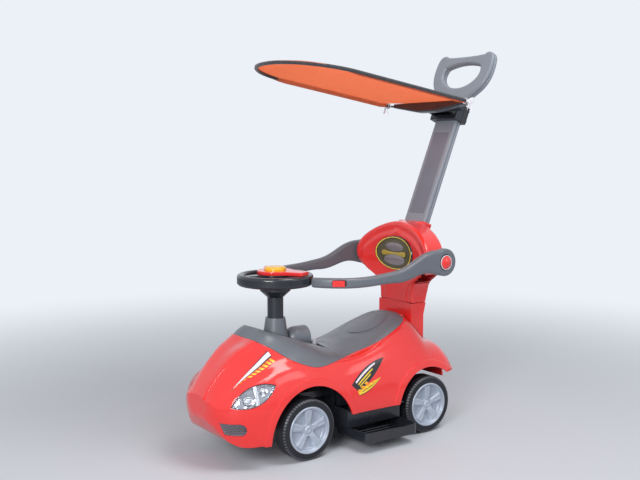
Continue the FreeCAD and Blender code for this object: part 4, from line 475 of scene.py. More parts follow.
# %% Softened copies
def softened_copy(name, parts, voxel, rounds):
    """Welded copies of CAD nodes, rebuilt together as one even skin and relaxed."""
    piece = joined(name, [welded_copy(node) for node in parts])
    skin = piece.modifiers.new("even_skin", "REMESH")
    skin.mode = "VOXEL"
    skin.voxel_size = voxel
    relax = piece.modifiers.new("relaxed", "SMOOTH")
    relax.factor = 0.5
    relax.iterations = rounds
    apply_modifiers(piece)
    bpy.ops.object.shade_smooth()
    return stands_for(piece, *parts)


SOFT_EDGES = {
    "backrest_blown": (("backrest_front", "backrest_rear"), 0.0022, 11),
    "arm_left_blown": (("arm_left",), 0.0014, 14),
    "arm_right_blown": (("arm_right",), 0.0014, 14),
    "handle_front_blown": (("handle_front",), 0.0019, 12),
    "handle_rear_blown": (("handle_rear",), 0.0019, 12),
    "hub_cover_soft": (("steering_hub_cover",), 0.0010, 12),
}
for name, (parts, voxel, rounds) in SOFT_EDGES.items():
    print(name, len(softened_copy(name, parts, voxel, rounds).data.polygons), "faces")

# %% [markdown]
# ## Helpers for new pieces
# Many pieces here are bent sheets: a canopy, a printed film, a dished wheel cover. Each starts as Blender's
# plain grid, and every point of it is then carried to its place by a rule that takes u and v, the shares
# across and along the grid. That keeps the faces even and gives a UV map for free. The other helpers do
# what finished pieces need: doubles merged, backs closed, walls thickened, a finish and a body to ride on.

# %% Helpers for bent grids
FLIP = Matrix.Scale(-1, 4, (1, 0, 0))


def mm(x, y, z):
    return Vector((x, y, z)) / 1000


def between(low, high, value):
    """A soft step from 0 at low to 1 at high."""
    share = min(1.0, max(0.0, (value - low) / (high - low)))
    return share * share * (3 - 2 * share)


def bent_grid(name, across, along, rule):
    """Blender's grid with each point carried to where rule(u, v) puts it, in millimetres."""
    drop_all()
    bpy.ops.mesh.primitive_grid_add(x_subdivisions=across, y_subdivisions=along, size=2.0, calc_uvs=True)
    piece = bpy.context.object
    piece.name = name
    for vertex in piece.data.vertices:
        vertex.co = mm(*rule((vertex.co.x + 1) / 2, (vertex.co.y + 1) / 2))
    return piece


def close_up(piece, cap=False):
    """Merge doubles, cap an open back where asked and turn all faces outwards."""
    open_up(piece)
    bpy.ops.mesh.remove_doubles(threshold=WELD)
    if cap:
        bpy.ops.mesh.fill_holes(sides=0)
        bpy.ops.mesh.select_all(action="SELECT")
    bpy.ops.mesh.normals_make_consistent(inside=False)
    bpy.ops.object.mode_set(mode="OBJECT")


def thicken(piece, wall, offset=-1.0):
    """Give a sheet a wall, behind its face unless an offset says otherwise."""
    solid = piece.modifiers.new("wall", "SOLIDIFY")
    solid.thickness = wall
    solid.offset = offset
    apply_modifiers(piece)


def lay_on(piece, target, axis, gap=0.0):
    """Project a sheet back along an axis of its own until it lies on a target."""
    lay = piece.modifiers.new("lay_on", "SHRINKWRAP")
    lay.target = target
    lay.wrap_method = "PROJECT"
    lay.use_project_x = axis == "X"
    lay.use_project_z = axis == "Z"
    lay.use_positive_direction = False
    lay.use_negative_direction = True
    lay.offset = gap
    apply_modifiers(piece)


def mount(piece, body, material, angle):
    """Shade a piece, give it its finish and let it ride on a body."""
    hold(piece)
    bpy.ops.object.shade_smooth_by_angle(angle=math.radians(angle))
    dress(piece, material)
    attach(piece, body)
    return piece


def carried(piece, name, matrix):
    """A copy with its own mesh, carried by a matrix; a mirrored one has its faces turned back outwards."""
    copy = placed(name, piece.data.copy())
    copy.data.transform(matrix)
    if matrix.determinant() < 0:
        copy.data.flip_normals()
    return copy


def discard(*patterns):
    """Take away patterns once their copies are made."""
    for pattern in patterns:
        bpy.data.objects.remove(pattern)


def tube(name, points, radius, flat=0.0, closed=False):
    """A round or ribbon-like tube along smooth points, turned into a mesh."""
    line = bpy.data.curves.new(name, "CURVE")
    line.dimensions = "3D"
    line.bevel_depth = radius
    line.bevel_resolution = 4
    line.extrude = flat
    line.use_fill_caps = True
    line.resolution_u = 4
    spline = line.splines.new("NURBS")
    spline.points.add(len(points) - 1)
    for slot, point in zip(spline.points, points):
        slot.co = (*point, 1)
    spline.order_u = 3
    spline.use_endpoint_u = not closed
    spline.use_cyclic_u = closed
    hold(placed(name, line))
    bpy.ops.object.convert(target="MESH")
    piece = bpy.context.object
    close_up(piece)
    return piece


print("helpers ready")

# %% [markdown]
# ## Seat catch
# The seat is let go by a light grey finger catch just ahead of its front edge. On the CAD plate that carries
# it stands a small tab. It starts as a cube: its upper front edge is bevelled broadly for the finger, its top
# is inset and pushed in, and the other edges get a small round.

# %% Seat catch tab
CATCH_CENTRE = mm(0, -116.5, 256.0)
CATCH_SIZE = mm(34, 11, 13)
FINGER_BEVEL = 0.004
TOP_INSET = 0.0018
TOP_SINK = 0.0015
CATCH_ROUND = 0.0007
drop_all()
bpy.ops.mesh.primitive_cube_add(size=1.0, location=CATCH_CENTRE)
catch = bpy.context.object
catch.name = "seat_catch_tab"
catch.scale = CATCH_SIZE
settle(catch)
bpy.ops.object.mode_set(mode="EDIT")
bpy.ops.mesh.select_mode(type="EDGE")
bpy.ops.mesh.select_all(action="DESELECT")
bpy.ops.object.mode_set(mode="OBJECT")
for edge in catch.data.edges:
    ends = [catch.data.vertices[index].co - CATCH_CENTRE for index in edge.vertices]
    edge.select = all(end.y < 0 and end.z > 0 for end in ends)
bpy.ops.object.mode_set(mode="EDIT")
bpy.ops.mesh.bevel(offset=FINGER_BEVEL, segments=4, affect="EDGES")
bpy.ops.mesh.select_mode(type="FACE")
bpy.ops.mesh.select_all(action="DESELECT")
bpy.ops.object.mode_set(mode="OBJECT")
for face in catch.data.polygons:
    face.select = face.normal.z > 0.99
bpy.ops.object.mode_set(mode="EDIT")
bpy.ops.mesh.inset(thickness=TOP_INSET, depth=-TOP_SINK)
bpy.ops.object.mode_set(mode="OBJECT")
rounds = catch.modifiers.new("small_rounds", "BEVEL")
rounds.width = CATCH_ROUND
rounds.segments = 2
rounds.limit_method = "ANGLE"
apply_modifiers(catch)
mount(catch, "frame", catch_grey, 40)
print("seat catch", len(catch.data.polygons), "faces")

# %% [markdown]
# ## Buttons on the arms
# Each guard arm is let go by a red button at its pivot: a low glossy dome inside a ring. The ring's light
# grey is a painted highlight, standing for the light caught by the button's rim. The CAD solid is a plain
# stud. Here a grid is wrapped round the button's axis and raised to a dome with a straight rim, and a
# second grid makes the ring. Both are drawn for the left side and mirrored for the right.

# %% Arm buttons
BUTTON_AXIS = Matrix.Translation(mm(0, 189.9, 455.0))
BUTTON_RADIUS = 16.6
BUTTON_TOP = 183.0
BUTTON_RISE = 6.0
BUTTON_RIM = 8.0
DOME_SHARE = 0.8
RING_CENTRE = 175.8
RING_RADIUS = 18.1
RING_HALF_WIDTH = 1.5
RING_HALF_HEIGHT = 1.6


def dome_rule(u, v):
    turn = u * 2 * math.pi
    radius = BUTTON_RADIUS * min(1.0, v / DOME_SHARE)
    dome = BUTTON_RISE * min(1.0, v / DOME_SHARE) ** 2
    rim = BUTTON_RIM * max(0.0, v - DOME_SHARE) / (1 - DOME_SHARE)
    return BUTTON_TOP - dome - rim, radius * math.sin(turn), radius * math.cos(turn)


def highlight_ring_rule(u, v):
    turn = u * 2 * math.pi
    lap = v * 2 * math.pi
    radius = RING_RADIUS + RING_HALF_WIDTH * math.cos(lap)
    out = RING_CENTRE + RING_HALF_HEIGHT * math.sin(lap)
    return out, radius * math.sin(turn), radius * math.cos(turn)


dome = bent_grid("button_dome_pattern", 48, 20, dome_rule)
ring = bent_grid("button_highlight_ring_pattern", 48, 10, highlight_ring_rule)
close_up(dome, cap=True)
close_up(ring)
for side, matrix in (("left", BUTTON_AXIS), ("right", FLIP @ BUTTON_AXIS)):
    piece = mount(carried(dome, "button_dome_" + side, matrix), "button_" + side, red, 50)
    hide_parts("arm_button_" + side)
    # The ring's light grey is a painted highlight for the button's rim; the seat catch's grey is its own
    # colour.
    mount(carried(ring, "button_highlight_ring_" + side, matrix), "button_" + side, catch_grey, 60)
discard(dome, ring)
print("arm buttons domed")

# %% [markdown]
# ## Orange canopy cloth
# The canopy is one panel of orange polyester, stretched over a bent wire with a dark binding sewn round its
# edge and tied to it by two white ribbons. A stiff plate would look wrong, so the panel is a single curved
# sheet: its outline follows the wire, its sides fold round the wire as a sleeve, it crowns a little across
# the car, and small pulls run in from the ties. The weave lies on the sheet's own UV map, so its threads
# follow the cloth. Light from above shines through: the finish mixes a rough surface with a translucent
# one.

# %% Weave group and cloth finish
weave_group, into, outof = new_group(
    "plain_weave",
    [("Colour", NEUTRAL), ("Gap colour", (0.3, 0.3, 0.3, 1)), ("Threads across", 280.0),
     ("Threads along", 420.0)],
    [("Colour", "NodeSocketColor"), ("Height", "NodeSocketFloat")])
place = add_node(weave_group, "ShaderNodeTexCoord")
split = add_node(weave_group, "ShaderNodeSeparateXYZ")
over = add_node(weave_group, "ShaderNodeMath", operation="ADD")
for entry, (axis, count) in enumerate((("X", "Threads across"), ("Y", "Threads along"))):
    run = add_node(weave_group, "ShaderNodeMath", operation="MULTIPLY")
    wave = add_node(weave_group, "ShaderNodeMath", {1: 0.5}, operation="PINGPONG")
    wire(weave_group, (split, axis, run, 0), (into, count, run, 1), (run, "Value", wave, 0),
         (wave, "Value", over, entry))
slub = add_node(weave_group, "ShaderNodeTexNoise", {"Scale": 55.0, "Detail": 3.0})
thread_mix = add_node(weave_group, "ShaderNodeMath", operation="MULTIPLY")
thread_tone = add_node(weave_group, "ShaderNodeMapRange", {"From Max": 0.45})
thread_colour = add_node(weave_group, "ShaderNodeMix", data_type="RGBA")
wire(weave_group, (place, "UV", split, "Vector"), (place, "Object", slub, "Vector"),
     (over, "Value", thread_mix, 0), (slub, "Fac", thread_mix, 1),
     (thread_mix, "Value", thread_tone, "Value"),
     (thread_tone, "Result", thread_colour, "Factor"), (into, "Gap colour", thread_colour, "A"),
     (into, "Colour", thread_colour, "B"), (thread_colour, "Result", outof, "Colour"),
     (over, "Value", outof, "Height"))


def cloth(name, colour, gap, across, along, glow=0.0):
    """A weave: thread and gap colour, threads across and along, and the share of light let through."""
    material, tree, shader = new_finish(name, {"Roughness": 0.75, "Sheen Weight": 0.25})
    weave = add_node(tree, "ShaderNodeGroup", {
        "Colour": paint(colour), "Gap colour": paint(gap), "Threads across": across, "Threads along": along},
        node_tree=weave_group)
    bump = add_node(tree, "ShaderNodeBump", {"Strength": 0.3, "Distance": 0.0006})
    wire(tree, (weave, "Colour", shader, "Base Color"), (weave, "Height", bump, "Height"),
         (bump, "Normal", shader, "Normal"))
    if glow > 0:
        through = add_node(tree, "ShaderNodeBsdfTranslucent")
        blend = add_node(tree, "ShaderNodeMixShader", {"Fac": glow})
        wire(tree, (weave, "Colour", through, "Color"), (shader, "BSDF", blend, 1),
             (through, "BSDF", blend, 2), (blend, "Shader", tree.nodes["Material Output"], "Surface"))
    return material


orange_cloth = cloth("orange_polyester", (0.97, 0.44, 0.245), (0.91, 0.36, 0.185), 290, 430, glow=0.68)
binding_cloth = cloth("dark_binding", (0.045, 0.046, 0.055), (0.022, 0.023, 0.028), 60, 900)
ribbon_cloth = cloth("white_ribbon", (0.84, 0.83, 0.88), (0.66, 0.66, 0.72), 14, 160)
print("cloth finishes made")

# %% Canopy panel
CANOPY_TILT = Matrix.Rotation(math.radians(-8.9), 3, "X")
CANOPY_PIVOT = mm(0, 323.83, 862.66)
CANOPY_HALF = 163.5
CANOPY_FRONT = 577.0
CANOPY_REAR = 46
CANOPY_CORNER = 153.5
CANOPY_ACROSS = 72
CANOPY_ALONG = 76
CLOTH_THICKNESS = 0.0009
HEM_COLUMNS = 3
HEM_START = 1 - 2 * HEM_COLUMNS / CANOPY_ACROSS
HEM_INSET = 9
HEM_FOLD = [(0.0, 0.0), (-0.5, -4.4), (1.3, -8.9), (5.4, -10.4)]
BAR_RISE = 6.7
BAR_RUN = (490, 521)
WIRE_RISE = 4.4
SLEEVE_RUN = (50, 170)
REAR_BOW = 18
FRONT_CROWN = 21
CROWN_LOSS = 18
TIE_PULL = 1.6
RIPPLE = 0.9
SLACK = 2.0


def canopy_half(run):
    """Half width of the wire's outline at a run back from its front."""
    inside = max(0.0, CANOPY_CORNER - run)
    return CANOPY_HALF - CANOPY_CORNER + math.sqrt(CANOPY_CORNER ** 2 - inside ** 2)


def from_pivot(x, ahead, rise):
    """Place from the canopy's pivot: across, ahead and above, tilted with the canopy."""
    return (CANOPY_PIVOT + CANOPY_TILT @ mm(x, -ahead, rise)) * 1000


def canopy_rule(u, v):
    edge = 2 * u - 1
    side = max(-1.0, min(1.0, edge / HEM_START))
    length = CANOPY_FRONT - CANOPY_REAR - REAR_BOW * side ** 4
    run = length * (1 - math.cos(v * math.pi / 2))
    share = run / length
    sleeve = between(*SLEEVE_RUN, run)
    half = canopy_half(run) - HEM_INSET * sleeve
    column = max(0, round((abs(edge) - HEM_START) / (1 - HEM_START) * HEM_COLUMNS))
    out, down = HEM_FOLD[column]
    crown = (FRONT_CROWN - CROWN_LOSS * share) * (half / CANOPY_HALF) ** 2 * (1 - side * side)
    pull = TIE_PULL * share ** 3 * math.cos(side * 9 * math.pi) * abs(side)
    ripple = RIPPLE * math.sin(run / 31 + 4 * side) * math.sin(side * 7) * (1 - side * side)
    slack = -SLACK * (1 - abs(side)) * math.sin(share * math.pi)
    flush = between(*BAR_RUN, run)
    rise = (WIRE_RISE + crown + pull + ripple + slack) * (1 - flush) + BAR_RISE * flush
    x = half * side + math.copysign(out * sleeve, side)
    return from_pivot(x, CANOPY_FRONT - run, rise + down * sleeve)


canopy = bent_grid("canopy_cloth", CANOPY_ACROSS, CANOPY_ALONG, canopy_rule)
close_up(canopy)
thicken(canopy, CLOTH_THICKNESS, offset=0.0)
mount(canopy, "canopy", orange_cloth, 60)
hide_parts("canopy_fabric")
print("canopy cloth", len(canopy.data.polygons), "faces")

# %% Binding and ribbon ties
BINDING_HALF = 161.2
BINDING_CORNER = 157.2
BINDING_START = 66
BINDING_STEP = 13
BINDING_STEPS = 27
BINDING_BEND = 418
BEND_STEPS = 30
BINDING_RISE = 1.5
BINDING_RADIUS = 0.0046
TIE_X = 157.5
TIE_AHEAD = 55
TURN_RADIUS = 0.0062

half_edge = [(BINDING_HALF, BINDING_START + BINDING_STEP * step) for step in range(BINDING_STEPS)]
for step in range(BEND_STEPS + 1):
    turn = math.pi * step / (2 * BEND_STEPS)
    half_edge.append((BINDING_HALF - BINDING_CORNER + BINDING_CORNER * math.cos(turn),
                      BINDING_BEND + BINDING_CORNER * math.sin(turn)))
edge_points = [from_pivot(x, ahead, BINDING_RISE) / 1000 for x, ahead in half_edge]
edge_points += [from_pivot(-x, ahead, BINDING_RISE) / 1000 for x, ahead in reversed(half_edge)]
binding = tube("canopy_binding", edge_points, BINDING_RADIUS)
mount(binding, "canopy", binding_cloth, 60)


def ribbon_tie(side):
    """Ribbon wound twice round the wire behind the cloth's corner, with a knot, two loops and two tails."""
    centre = from_pivot(side * TIE_X, TIE_AHEAD, 0) / 1000
    start = centre + Vector((side * 0.0066, 0, 0))

    def beside(out, along, up):
        return start + Vector((side * out, along, up))

    turns = []
    for shift in (-0.0035, 0.0030):
        angles = [step * math.pi / 6 for step in range(12)]
        ring = [centre + CANOPY_TILT @ Vector((TURN_RADIUS * math.cos(a), shift, TURN_RADIUS * math.sin(a)))
                for a in angles]
        turns.append(tube("ribbon_turn", ring, 0.0005, 0.0026, True))
    for length, drop in ((0.017, 0.006), (0.015, -0.002)):
        loop = [start, beside(0.004, length * 0.5, 0.008), beside(0.006, length, drop),
                beside(0.003, length * 0.6, -0.006), beside(0.001, 0, -0.001)]
        turns.append(tube("ribbon_loop", loop, 0.0005, 0.0024))
    for lean in (0.006, -0.005):
        tail = [start, beside(0.005, lean * 0.5, -0.006), beside(0.003, lean, -0.014),
                beside(0.006, lean * 1.5, -0.022)]
        turns.append(tube("ribbon_tail", tail, 0.0004, 0.0022))
    drop_all()
    bpy.ops.mesh.primitive_uv_sphere_add(segments=16, ring_count=8, radius=0.0034, location=start)
    knot = bpy.context.object
    knot.scale = (0.8, 1.3, 1.0)
    settle(knot)
    turns.append(knot)
    return joined("canopy_tie_" + ("left" if side > 0 else "right"), turns)


ties = [mount(ribbon_tie(side), "canopy", ribbon_cloth, 50) for side in (1, -1)]
print("binding and ties", len(binding.data.polygons), [len(t.data.polygons) for t in ties])

# %% [markdown]
# ## Silver wheel covers
# The covers are vacuum-formed silver discs: a flat outer lip, five broad spokes that flare towards the rim,
# and deep rounded pockets between them. Cutting pockets from a disc leaves hard rims. A grid wrapped round
# the axle and pressed in by soft steps gives the drawn look of formed sheet, with one continuous skin from
# the back wall over the lip to the small cap in the middle.

# %% Wheel cover
COVER_LIP = [(22.0, 124.2), (40.0, 124.2), (57.0, 124.2), (57.5, 125.0), (57.5, 132.0), (57.5, 139.6),
             (57.3, 140.8), (56.6, 141.6), (55.6, 141.9), (54.2, 141.9), (53.2, 141.6), (52.6, 140.9),
             (52.3, 140.0)]
COVER_INNER_ROWS = 46
COVER_ROWS = len(COVER_LIP) + COVER_INNER_ROWS
COVER_INNER_RADIUS = 51.9
COVER_TURNS = 150
SPOKE_ROOT = 4.0
SPOKE_FLARE = 0.13
SPOKE_CROWN = 1.5
POCKET_DEPTH = 9.6
POCKET_WALL = 3.4
GROOVE_DEPTH = 1.3
DISH_FLOOR = 134.6
DISH_RISE = 2.6
CAP_RISE = 1.9
MOAT_DEPTH = 1.1
DIMPLE_DEPTH = 1.2
RIM_STEP = 1.4
FIFTH = 2 * math.pi / 5


def ridge(value, start, top, fall, end):
    """A soft ridge: 0 up to start, 1 from top to fall, and 0 again from end on."""
    return between(start, top, value) * (1 - between(fall, end, value))


def cover_face(radius, turn):
    """Height of the cover's face at a place inside the lip, along the axle."""
    off = (turn + FIFTH / 2) % FIFTH - FIFTH / 2
    beside = radius * abs(math.sin(off))
    half = SPOKE_ROOT + SPOKE_FLARE * radius
    pocket = between(half, half + POCKET_WALL, beside) * ridge(radius, 14.0, 18.0, 46.5, 50.5)
    crown = SPOKE_CROWN * (1 - min(1.0, beside / half) ** 2) * ridge(radius, 12, 22, 44, 51)
    groove = GROOVE_DEPTH * (1 - between(1.6, 3.6, beside)) * ridge(radius, 24, 30, 44, 49)
    dish = DISH_FLOOR + DISH_RISE * between(12, 52, radius)
    cap = CAP_RISE * (1 - between(7.6, 9.0, radius)) - MOAT_DEPTH * ridge(radius, 9.0, 10.4, 11.6, 13.6)
    dimple = -DIMPLE_DEPTH * (1 - between(2.2, 3.4, radius))
    step = -RIM_STEP * ridge(radius, 48.5, 51.0, 51.0, 52.3)
    return dish + crown + cap + dimple + step - groove - POCKET_DEPTH * pocket


def cover_rule(u, v):
    row = round(v * COVER_ROWS)
    turn = u * 2 * math.pi
    if row < len(COVER_LIP):
        radius, out = COVER_LIP[row]
    else:
        radius = COVER_INNER_RADIUS * (1 - (row - len(COVER_LIP)) / COVER_INNER_ROWS)
        out = cover_face(radius, turn)
    return out, radius * math.sin(turn), radius * math.cos(turn)


FRONT_WHEEL = Matrix.Translation(mm(0, -216, 75))
REAR_WHEEL = Matrix.Translation(mm(0, 166, 75))
WHEELS = {
    "front_left": FRONT_WHEEL, "rear_left": REAR_WHEEL,
    "front_right": FRONT_WHEEL @ FLIP, "rear_right": REAR_WHEEL @ FLIP,
}
cover = bent_grid("wheel_cover_pattern", COVER_TURNS, COVER_ROWS, cover_rule)
close_up(cover, cap=True)
for wheel, matrix in WHEELS.items():
    piece = carried(cover, "wheel_cover_" + wheel + "_formed", matrix)
    mount(piece, "wheel_" + wheel, silver, 50)
    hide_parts("wheel_cover_" + wheel)
discard(cover)
print("four wheel covers")

# %% [markdown]
# ## Tread lugs
# Round both shoulders of each tyre runs a row of small slanted lugs, which catch the light as a line of
# bright ticks. Their grey is lighter than the tyre's: a painted highlight for the glint on the lugs' edges.
# One lug is a cube with its edges bevelled, laid on the sloping shoulder. Spin with duplicates then sets
# sixty of them round the axle.

# %% Lugs on the tyre shoulders
LUGS = 60
LUG_SIZE = (0.0062, 0.0036, 0.0024)
LUG_RADIUS = 0.07235
LUG_SLANT = 24
LUG_BEVEL = 0.0005
SHOULDER_SLOPE = 45
OUTER_SHOULDER = 0.13735
INNER_SHOULDER = 0.09665


def lug_ring(out, way):
    """One row of lugs round the x axis: out is its place along the axle, way its side, 1 or -1."""
    drop_all()
    bpy.ops.mesh.primitive_cube_add(size=1.0)
    lug = bpy.context.object
    lug.scale = LUG_SIZE
    settle(lug)
    open_up(lug)
    bpy.ops.mesh.bevel(offset=LUG_BEVEL, segments=1, affect="EDGES")
    bpy.ops.object.mode_set(mode="OBJECT")
    slant = Matrix.Rotation(math.radians(LUG_SLANT * way), 4, "Z")
    tilt = Matrix.Rotation(math.radians(SHOULDER_SLOPE * way), 4, "Y")
    lug.data.transform(Matrix.Translation((out, 0, LUG_RADIUS)) @ tilt @ slant)
    open_up(lug)
    bpy.ops.mesh.spin(steps=LUGS - 1, dupli=True, angle=2 * math.pi * (LUGS - 1) / LUGS,
                      center=(0, 0, 0), axis=(1, 0, 0))
    bpy.ops.object.mode_set(mode="OBJECT")
    return lug


# The lugs' light grey is a painted highlight, standing for the glint on their edges.
lug_glint_grey = moulded("lug_painted_glint", (0.115, 0.117, 0.130), (0.070, 0.071, 0.080), (0.30, 0.5),
                     (1300, 0.3, 0.0005))
lugs = joined("lug_pattern", [lug_ring(OUTER_SHOULDER, 1), lug_ring(INNER_SHOULDER, -1)])
for wheel, matrix in WHEELS.items():
    mount(carried(lugs, "tread_lugs_" + wheel, matrix), "wheel_" + wheel, lug_glint_grey, 20)
discard(lugs)
print("lugs on four tyres")

# %% [markdown]
# ## Headlights
# Behind each clear lens lies a metallised bowl pressed into small facets, with a round lamp, a smaller one
# and a pale divider between them. The bowl is a leaf-shaped grid. Shrinkwrap lays it on the lens, then it
# is pushed in, deepest at the two lamps, and every second point is pushed a little more. Flat shading turns
# the result into facets that sparkle. The divider is laid on the lens and pushed in too.

# %% Headlight bowl
LEAF_TURN = (Matrix.Rotation(math.radians(-14.5), 4, "Z") @ Matrix.Rotation(math.radians(-24), 4, "Y")
             @ Matrix.Rotation(math.radians(20), 4, "X"))
LEAF_PLACE = Matrix.Translation(mm(116.44, -359.18, 175.36)) @ LEAF_TURN
LEAF_HALF = 57.5
LEAF_OUT = 60
BOWL_ACROSS = 10
BOWL_ALONG = 22
BOWL_HALF = 57.0
BOWL_TOP = 20.6
BOWL_LOW = 23.6
BOWL_RIM = 5.0
BOWL_SINK = 4.0
BOWL_FLOOR = 4.0
BOWL_WALL = 0.0006
FACET_DEPTH = 1.5
BIG_LAMP = (-16, -3)
SMALL_LAMP = (26, 2)


def leaf_edge(y, bulge):
    """Height of the leaf's arched edge above its long axis."""
    radius = (LEAF_HALF ** 2 + bulge ** 2) / (2 * bulge)
    return math.sqrt(radius ** 2 - y * y) - (radius - bulge)


def bowl_rule(u, v):
    y = BOWL_HALF * (2 * v - 1)
    low, high = -leaf_edge(y, BOWL_LOW), leaf_edge(y, BOWL_TOP)
    return LEAF_OUT, y, low + u * (high - low)


def dish_depth(y, z, centre, radius, depth):
    """Depth of a round dish about a centre."""
    return depth * (1 - between(0, radius, math.hypot(y - centre[0], z - centre[1])))


def bowl_depth(y, z):
    """How far the bowl lies behind the lens's face: two round dishes in a shallow trough."""
    low, high = -leaf_edge(y, BOWL_LOW), leaf_edge(y, BOWL_TOP)
    rim = min(1.0, min(z - low, high - z) / BOWL_RIM) if high > low else 0
    big = dish_depth(y, z, BIG_LAMP, 19, 9.0)
    small = dish_depth(y, z, SMALL_LAMP, 13, 6.0)
    return BOWL_SINK + rim * (BOWL_FLOOR + big + small)


bowl = bent_grid("headlight_bowl_left", BOWL_ACROSS, BOWL_ALONG, bowl_rule)
bowl.matrix_world = LEAF_PLACE
lay_on(bowl, nodes["headlight_lens_left"], "X")
for index, vertex in enumerate(bowl.data.vertices):
    row, column = divmod(index, BOWL_ACROSS + 1)
    facet = FACET_DEPTH if (row + column) % 2 else 0.0
    depth = bowl_depth(vertex.co.y * 1000, vertex.co.z * 1000)
    vertex.co.x -= (depth + facet * min(1.0, (depth - BOWL_SINK) / 3)) / 1000
settle(bowl)
close_up(bowl)
bowl.data.flip_normals()
thicken(bowl, BOWL_WALL)
print("bowl", len(bowl.data.polygons), "faces")


# %% Divider and lamps
DIVIDER_ACROSS = 6
DIVIDER_ALONG = 18
DIVIDER_Y = 5.5
DIVIDER_WIDTH = 9.0
DIVIDER_LEAN = 5.0
DIVIDER_TOP = 20.2
DIVIDER_LOW = 23.2
DIVIDER_SINK = 5.6
DIVIDER_CROWN = 1.4
DIVIDER_WALL = 0.0014


def divider_rule(u, v):
    y = DIVIDER_Y + DIVIDER_WIDTH * (u - 0.5) + DIVIDER_LEAN * (2 * v - 1)
    low, high = -leaf_edge(y, DIVIDER_LOW), leaf_edge(y, DIVIDER_TOP)
    return LEAF_OUT, y, low + v * (high - low)


def lamp_dome(y, z, radius, sink):
    """A glass dome in a ring, set on the bowl's floor, in the leaf's own frame."""
    drop_all()
    bpy.ops.mesh.primitive_uv_sphere_add(segments=24, ring_count=12, radius=radius / 1000)
    dome = bpy.context.object
    dome.scale = (0.7, 1, 1)
    settle(dome)
    drop_all()
    bpy.ops.mesh.primitive_torus_add(major_segments=32, minor_segments=10, major_radius=radius * 1.35 / 1000,
                                     minor_radius=radius * 0.2 / 1000, rotation=(0, math.pi / 2, 0))
    ring = bpy.context.object
    settle(ring)
    both = joined("lamp", [dome, ring])
    both.data.transform(LEAF_PLACE @ Matrix.Translation(mm(sink, y, z)))
    return both


divider = bent_grid("headlight_divider_left", DIVIDER_ACROSS, DIVIDER_ALONG, divider_rule)
divider.matrix_world = LEAF_PLACE
lay_on(divider, nodes["headlight_lens_left"], "X")
for index, vertex in enumerate(divider.data.vertices):
    column = index % (DIVIDER_ACROSS + 1)
    crown = DIVIDER_CROWN * math.sin(math.pi * column / DIVIDER_ACROSS)
    vertex.co.x -= (DIVIDER_SINK - crown) / 1000
settle(divider)
thicken(divider, DIVIDER_WALL)
lamp = joined("headlight_lamps_left", [lamp_dome(*BIG_LAMP, 6.5, -1.5), lamp_dome(*SMALL_LAMP, 4.6, 2.0)])
lamp_glass = moulded("lamp_glass", (0.80, 0.82, 0.86), (0.72, 0.75, 0.80), (0.08, 0.14),
                     (300, 0.05, 0.0004), coat=0.6)
for side, matrix in (("left", Matrix.Identity(4)), ("right", FLIP)):
    piece = mount(carried(bowl, "headlight_bowl_skin_" + side, matrix), "frame", chrome, 2)
    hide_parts("headlight_reflector_" + side)
    mount(carried(lamp, "headlight_lamp_" + side, matrix), "frame", lamp_glass, 50)
    mount(carried(divider, "headlight_divider_skin_" + side, matrix), "frame", lamp_glass, 50)
discard(divider, bowl, lamp)
print("headlights fitted")

# %% [markdown]
# ## Fog-lamp mesh
# Low on each side of the nose is a dark grille of fine mesh. A slotted plate is too coarse for it. A grid
# bent to the nose's curve is trimmed to the opening's outline by its own rule, and the Wireframe modifier
# turns its edges into thin wires. A dark backing plate behind them keeps the inside of the body from
# showing.

# %% Fog mesh
FOG_PLACE = Matrix.Translation(mm(93.01, -397.26, 101.76)) @ Matrix.Rotation(math.radians(-44), 4, "Z")
FOG_HALF = 14.2
FOG_INNER = -32.4
FOG_OUTER = 18.2
FOG_LEAN = 0.45 * 29 / (2 * FOG_HALF)
WIRE_SINK = 2.0
WIRE_THICKNESS = 0.0012
BACK_SINK = 4.2
BACK_WALL = 0.0008


def fog_front(y, z):
    """The nose's curved face round the opening."""
    return 14.87 + 0.0334 * y + 0.2274 * z - 0.0056 * y * y - 0.00195 * z * z - 0.00136 * y * z


def fog_outline(u, v, sink):
    z = FOG_HALF * (2 * v - 1)
    inner = FOG_INNER + FOG_LEAN * (FOG_HALF - z)
    outer = FOG_OUTER + math.sqrt(max(0.0, FOG_HALF ** 2 - z * z))
    y = inner + u * (outer - inner)
    return fog_front(y, z) - sink, y, z


fog_mesh = bent_grid("fog_mesh_left", 15, 7, lambda u, v: fog_outline(u, v, WIRE_SINK))
close_up(fog_mesh)
wires = fog_mesh.modifiers.new("wires", "WIREFRAME")
wires.thickness = WIRE_THICKNESS
wires.use_even_offset = False
wires.use_boundary = True
apply_modifiers(fog_mesh)
fog_back = bent_grid("fog_back_left", 20, 8, lambda u, v: fog_outline(u, v, BACK_SINK))
close_up(fog_back)
thicken(fog_back, BACK_WALL)
mesh_grey = moulded("mesh_grey", (0.42, 0.39, 0.45), (0.34, 0.32, 0.37), (0.3, 0.45),
                    (900, 0.15, 0.0004), coat=0.1)
for side, matrix in (("left", FOG_PLACE), ("right", FLIP @ FOG_PLACE)):
    piece = mount(carried(fog_mesh, "fog_wires_" + side, matrix), "frame", mesh_grey, 30)
    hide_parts("fog_grille_" + side)
    mount(carried(fog_back, "fog_backing_" + side, matrix), "frame", black, 30)
discard(fog_mesh, fog_back)
print("fog mesh fitted")

# %% [markdown]
# ## Printed films
# The hood has a printed stripe on each side and each flank has a pointed flash. They are thin films that
# follow the moulding, so each is a grid drawn flat and laid on the body by Shrinkwrap, a third of a
# millimetre above it. The print is made from the film's own UV map: u runs across the film and v along it.
# Plain bands and slanted bars are drawn by comparing u and v with limits.

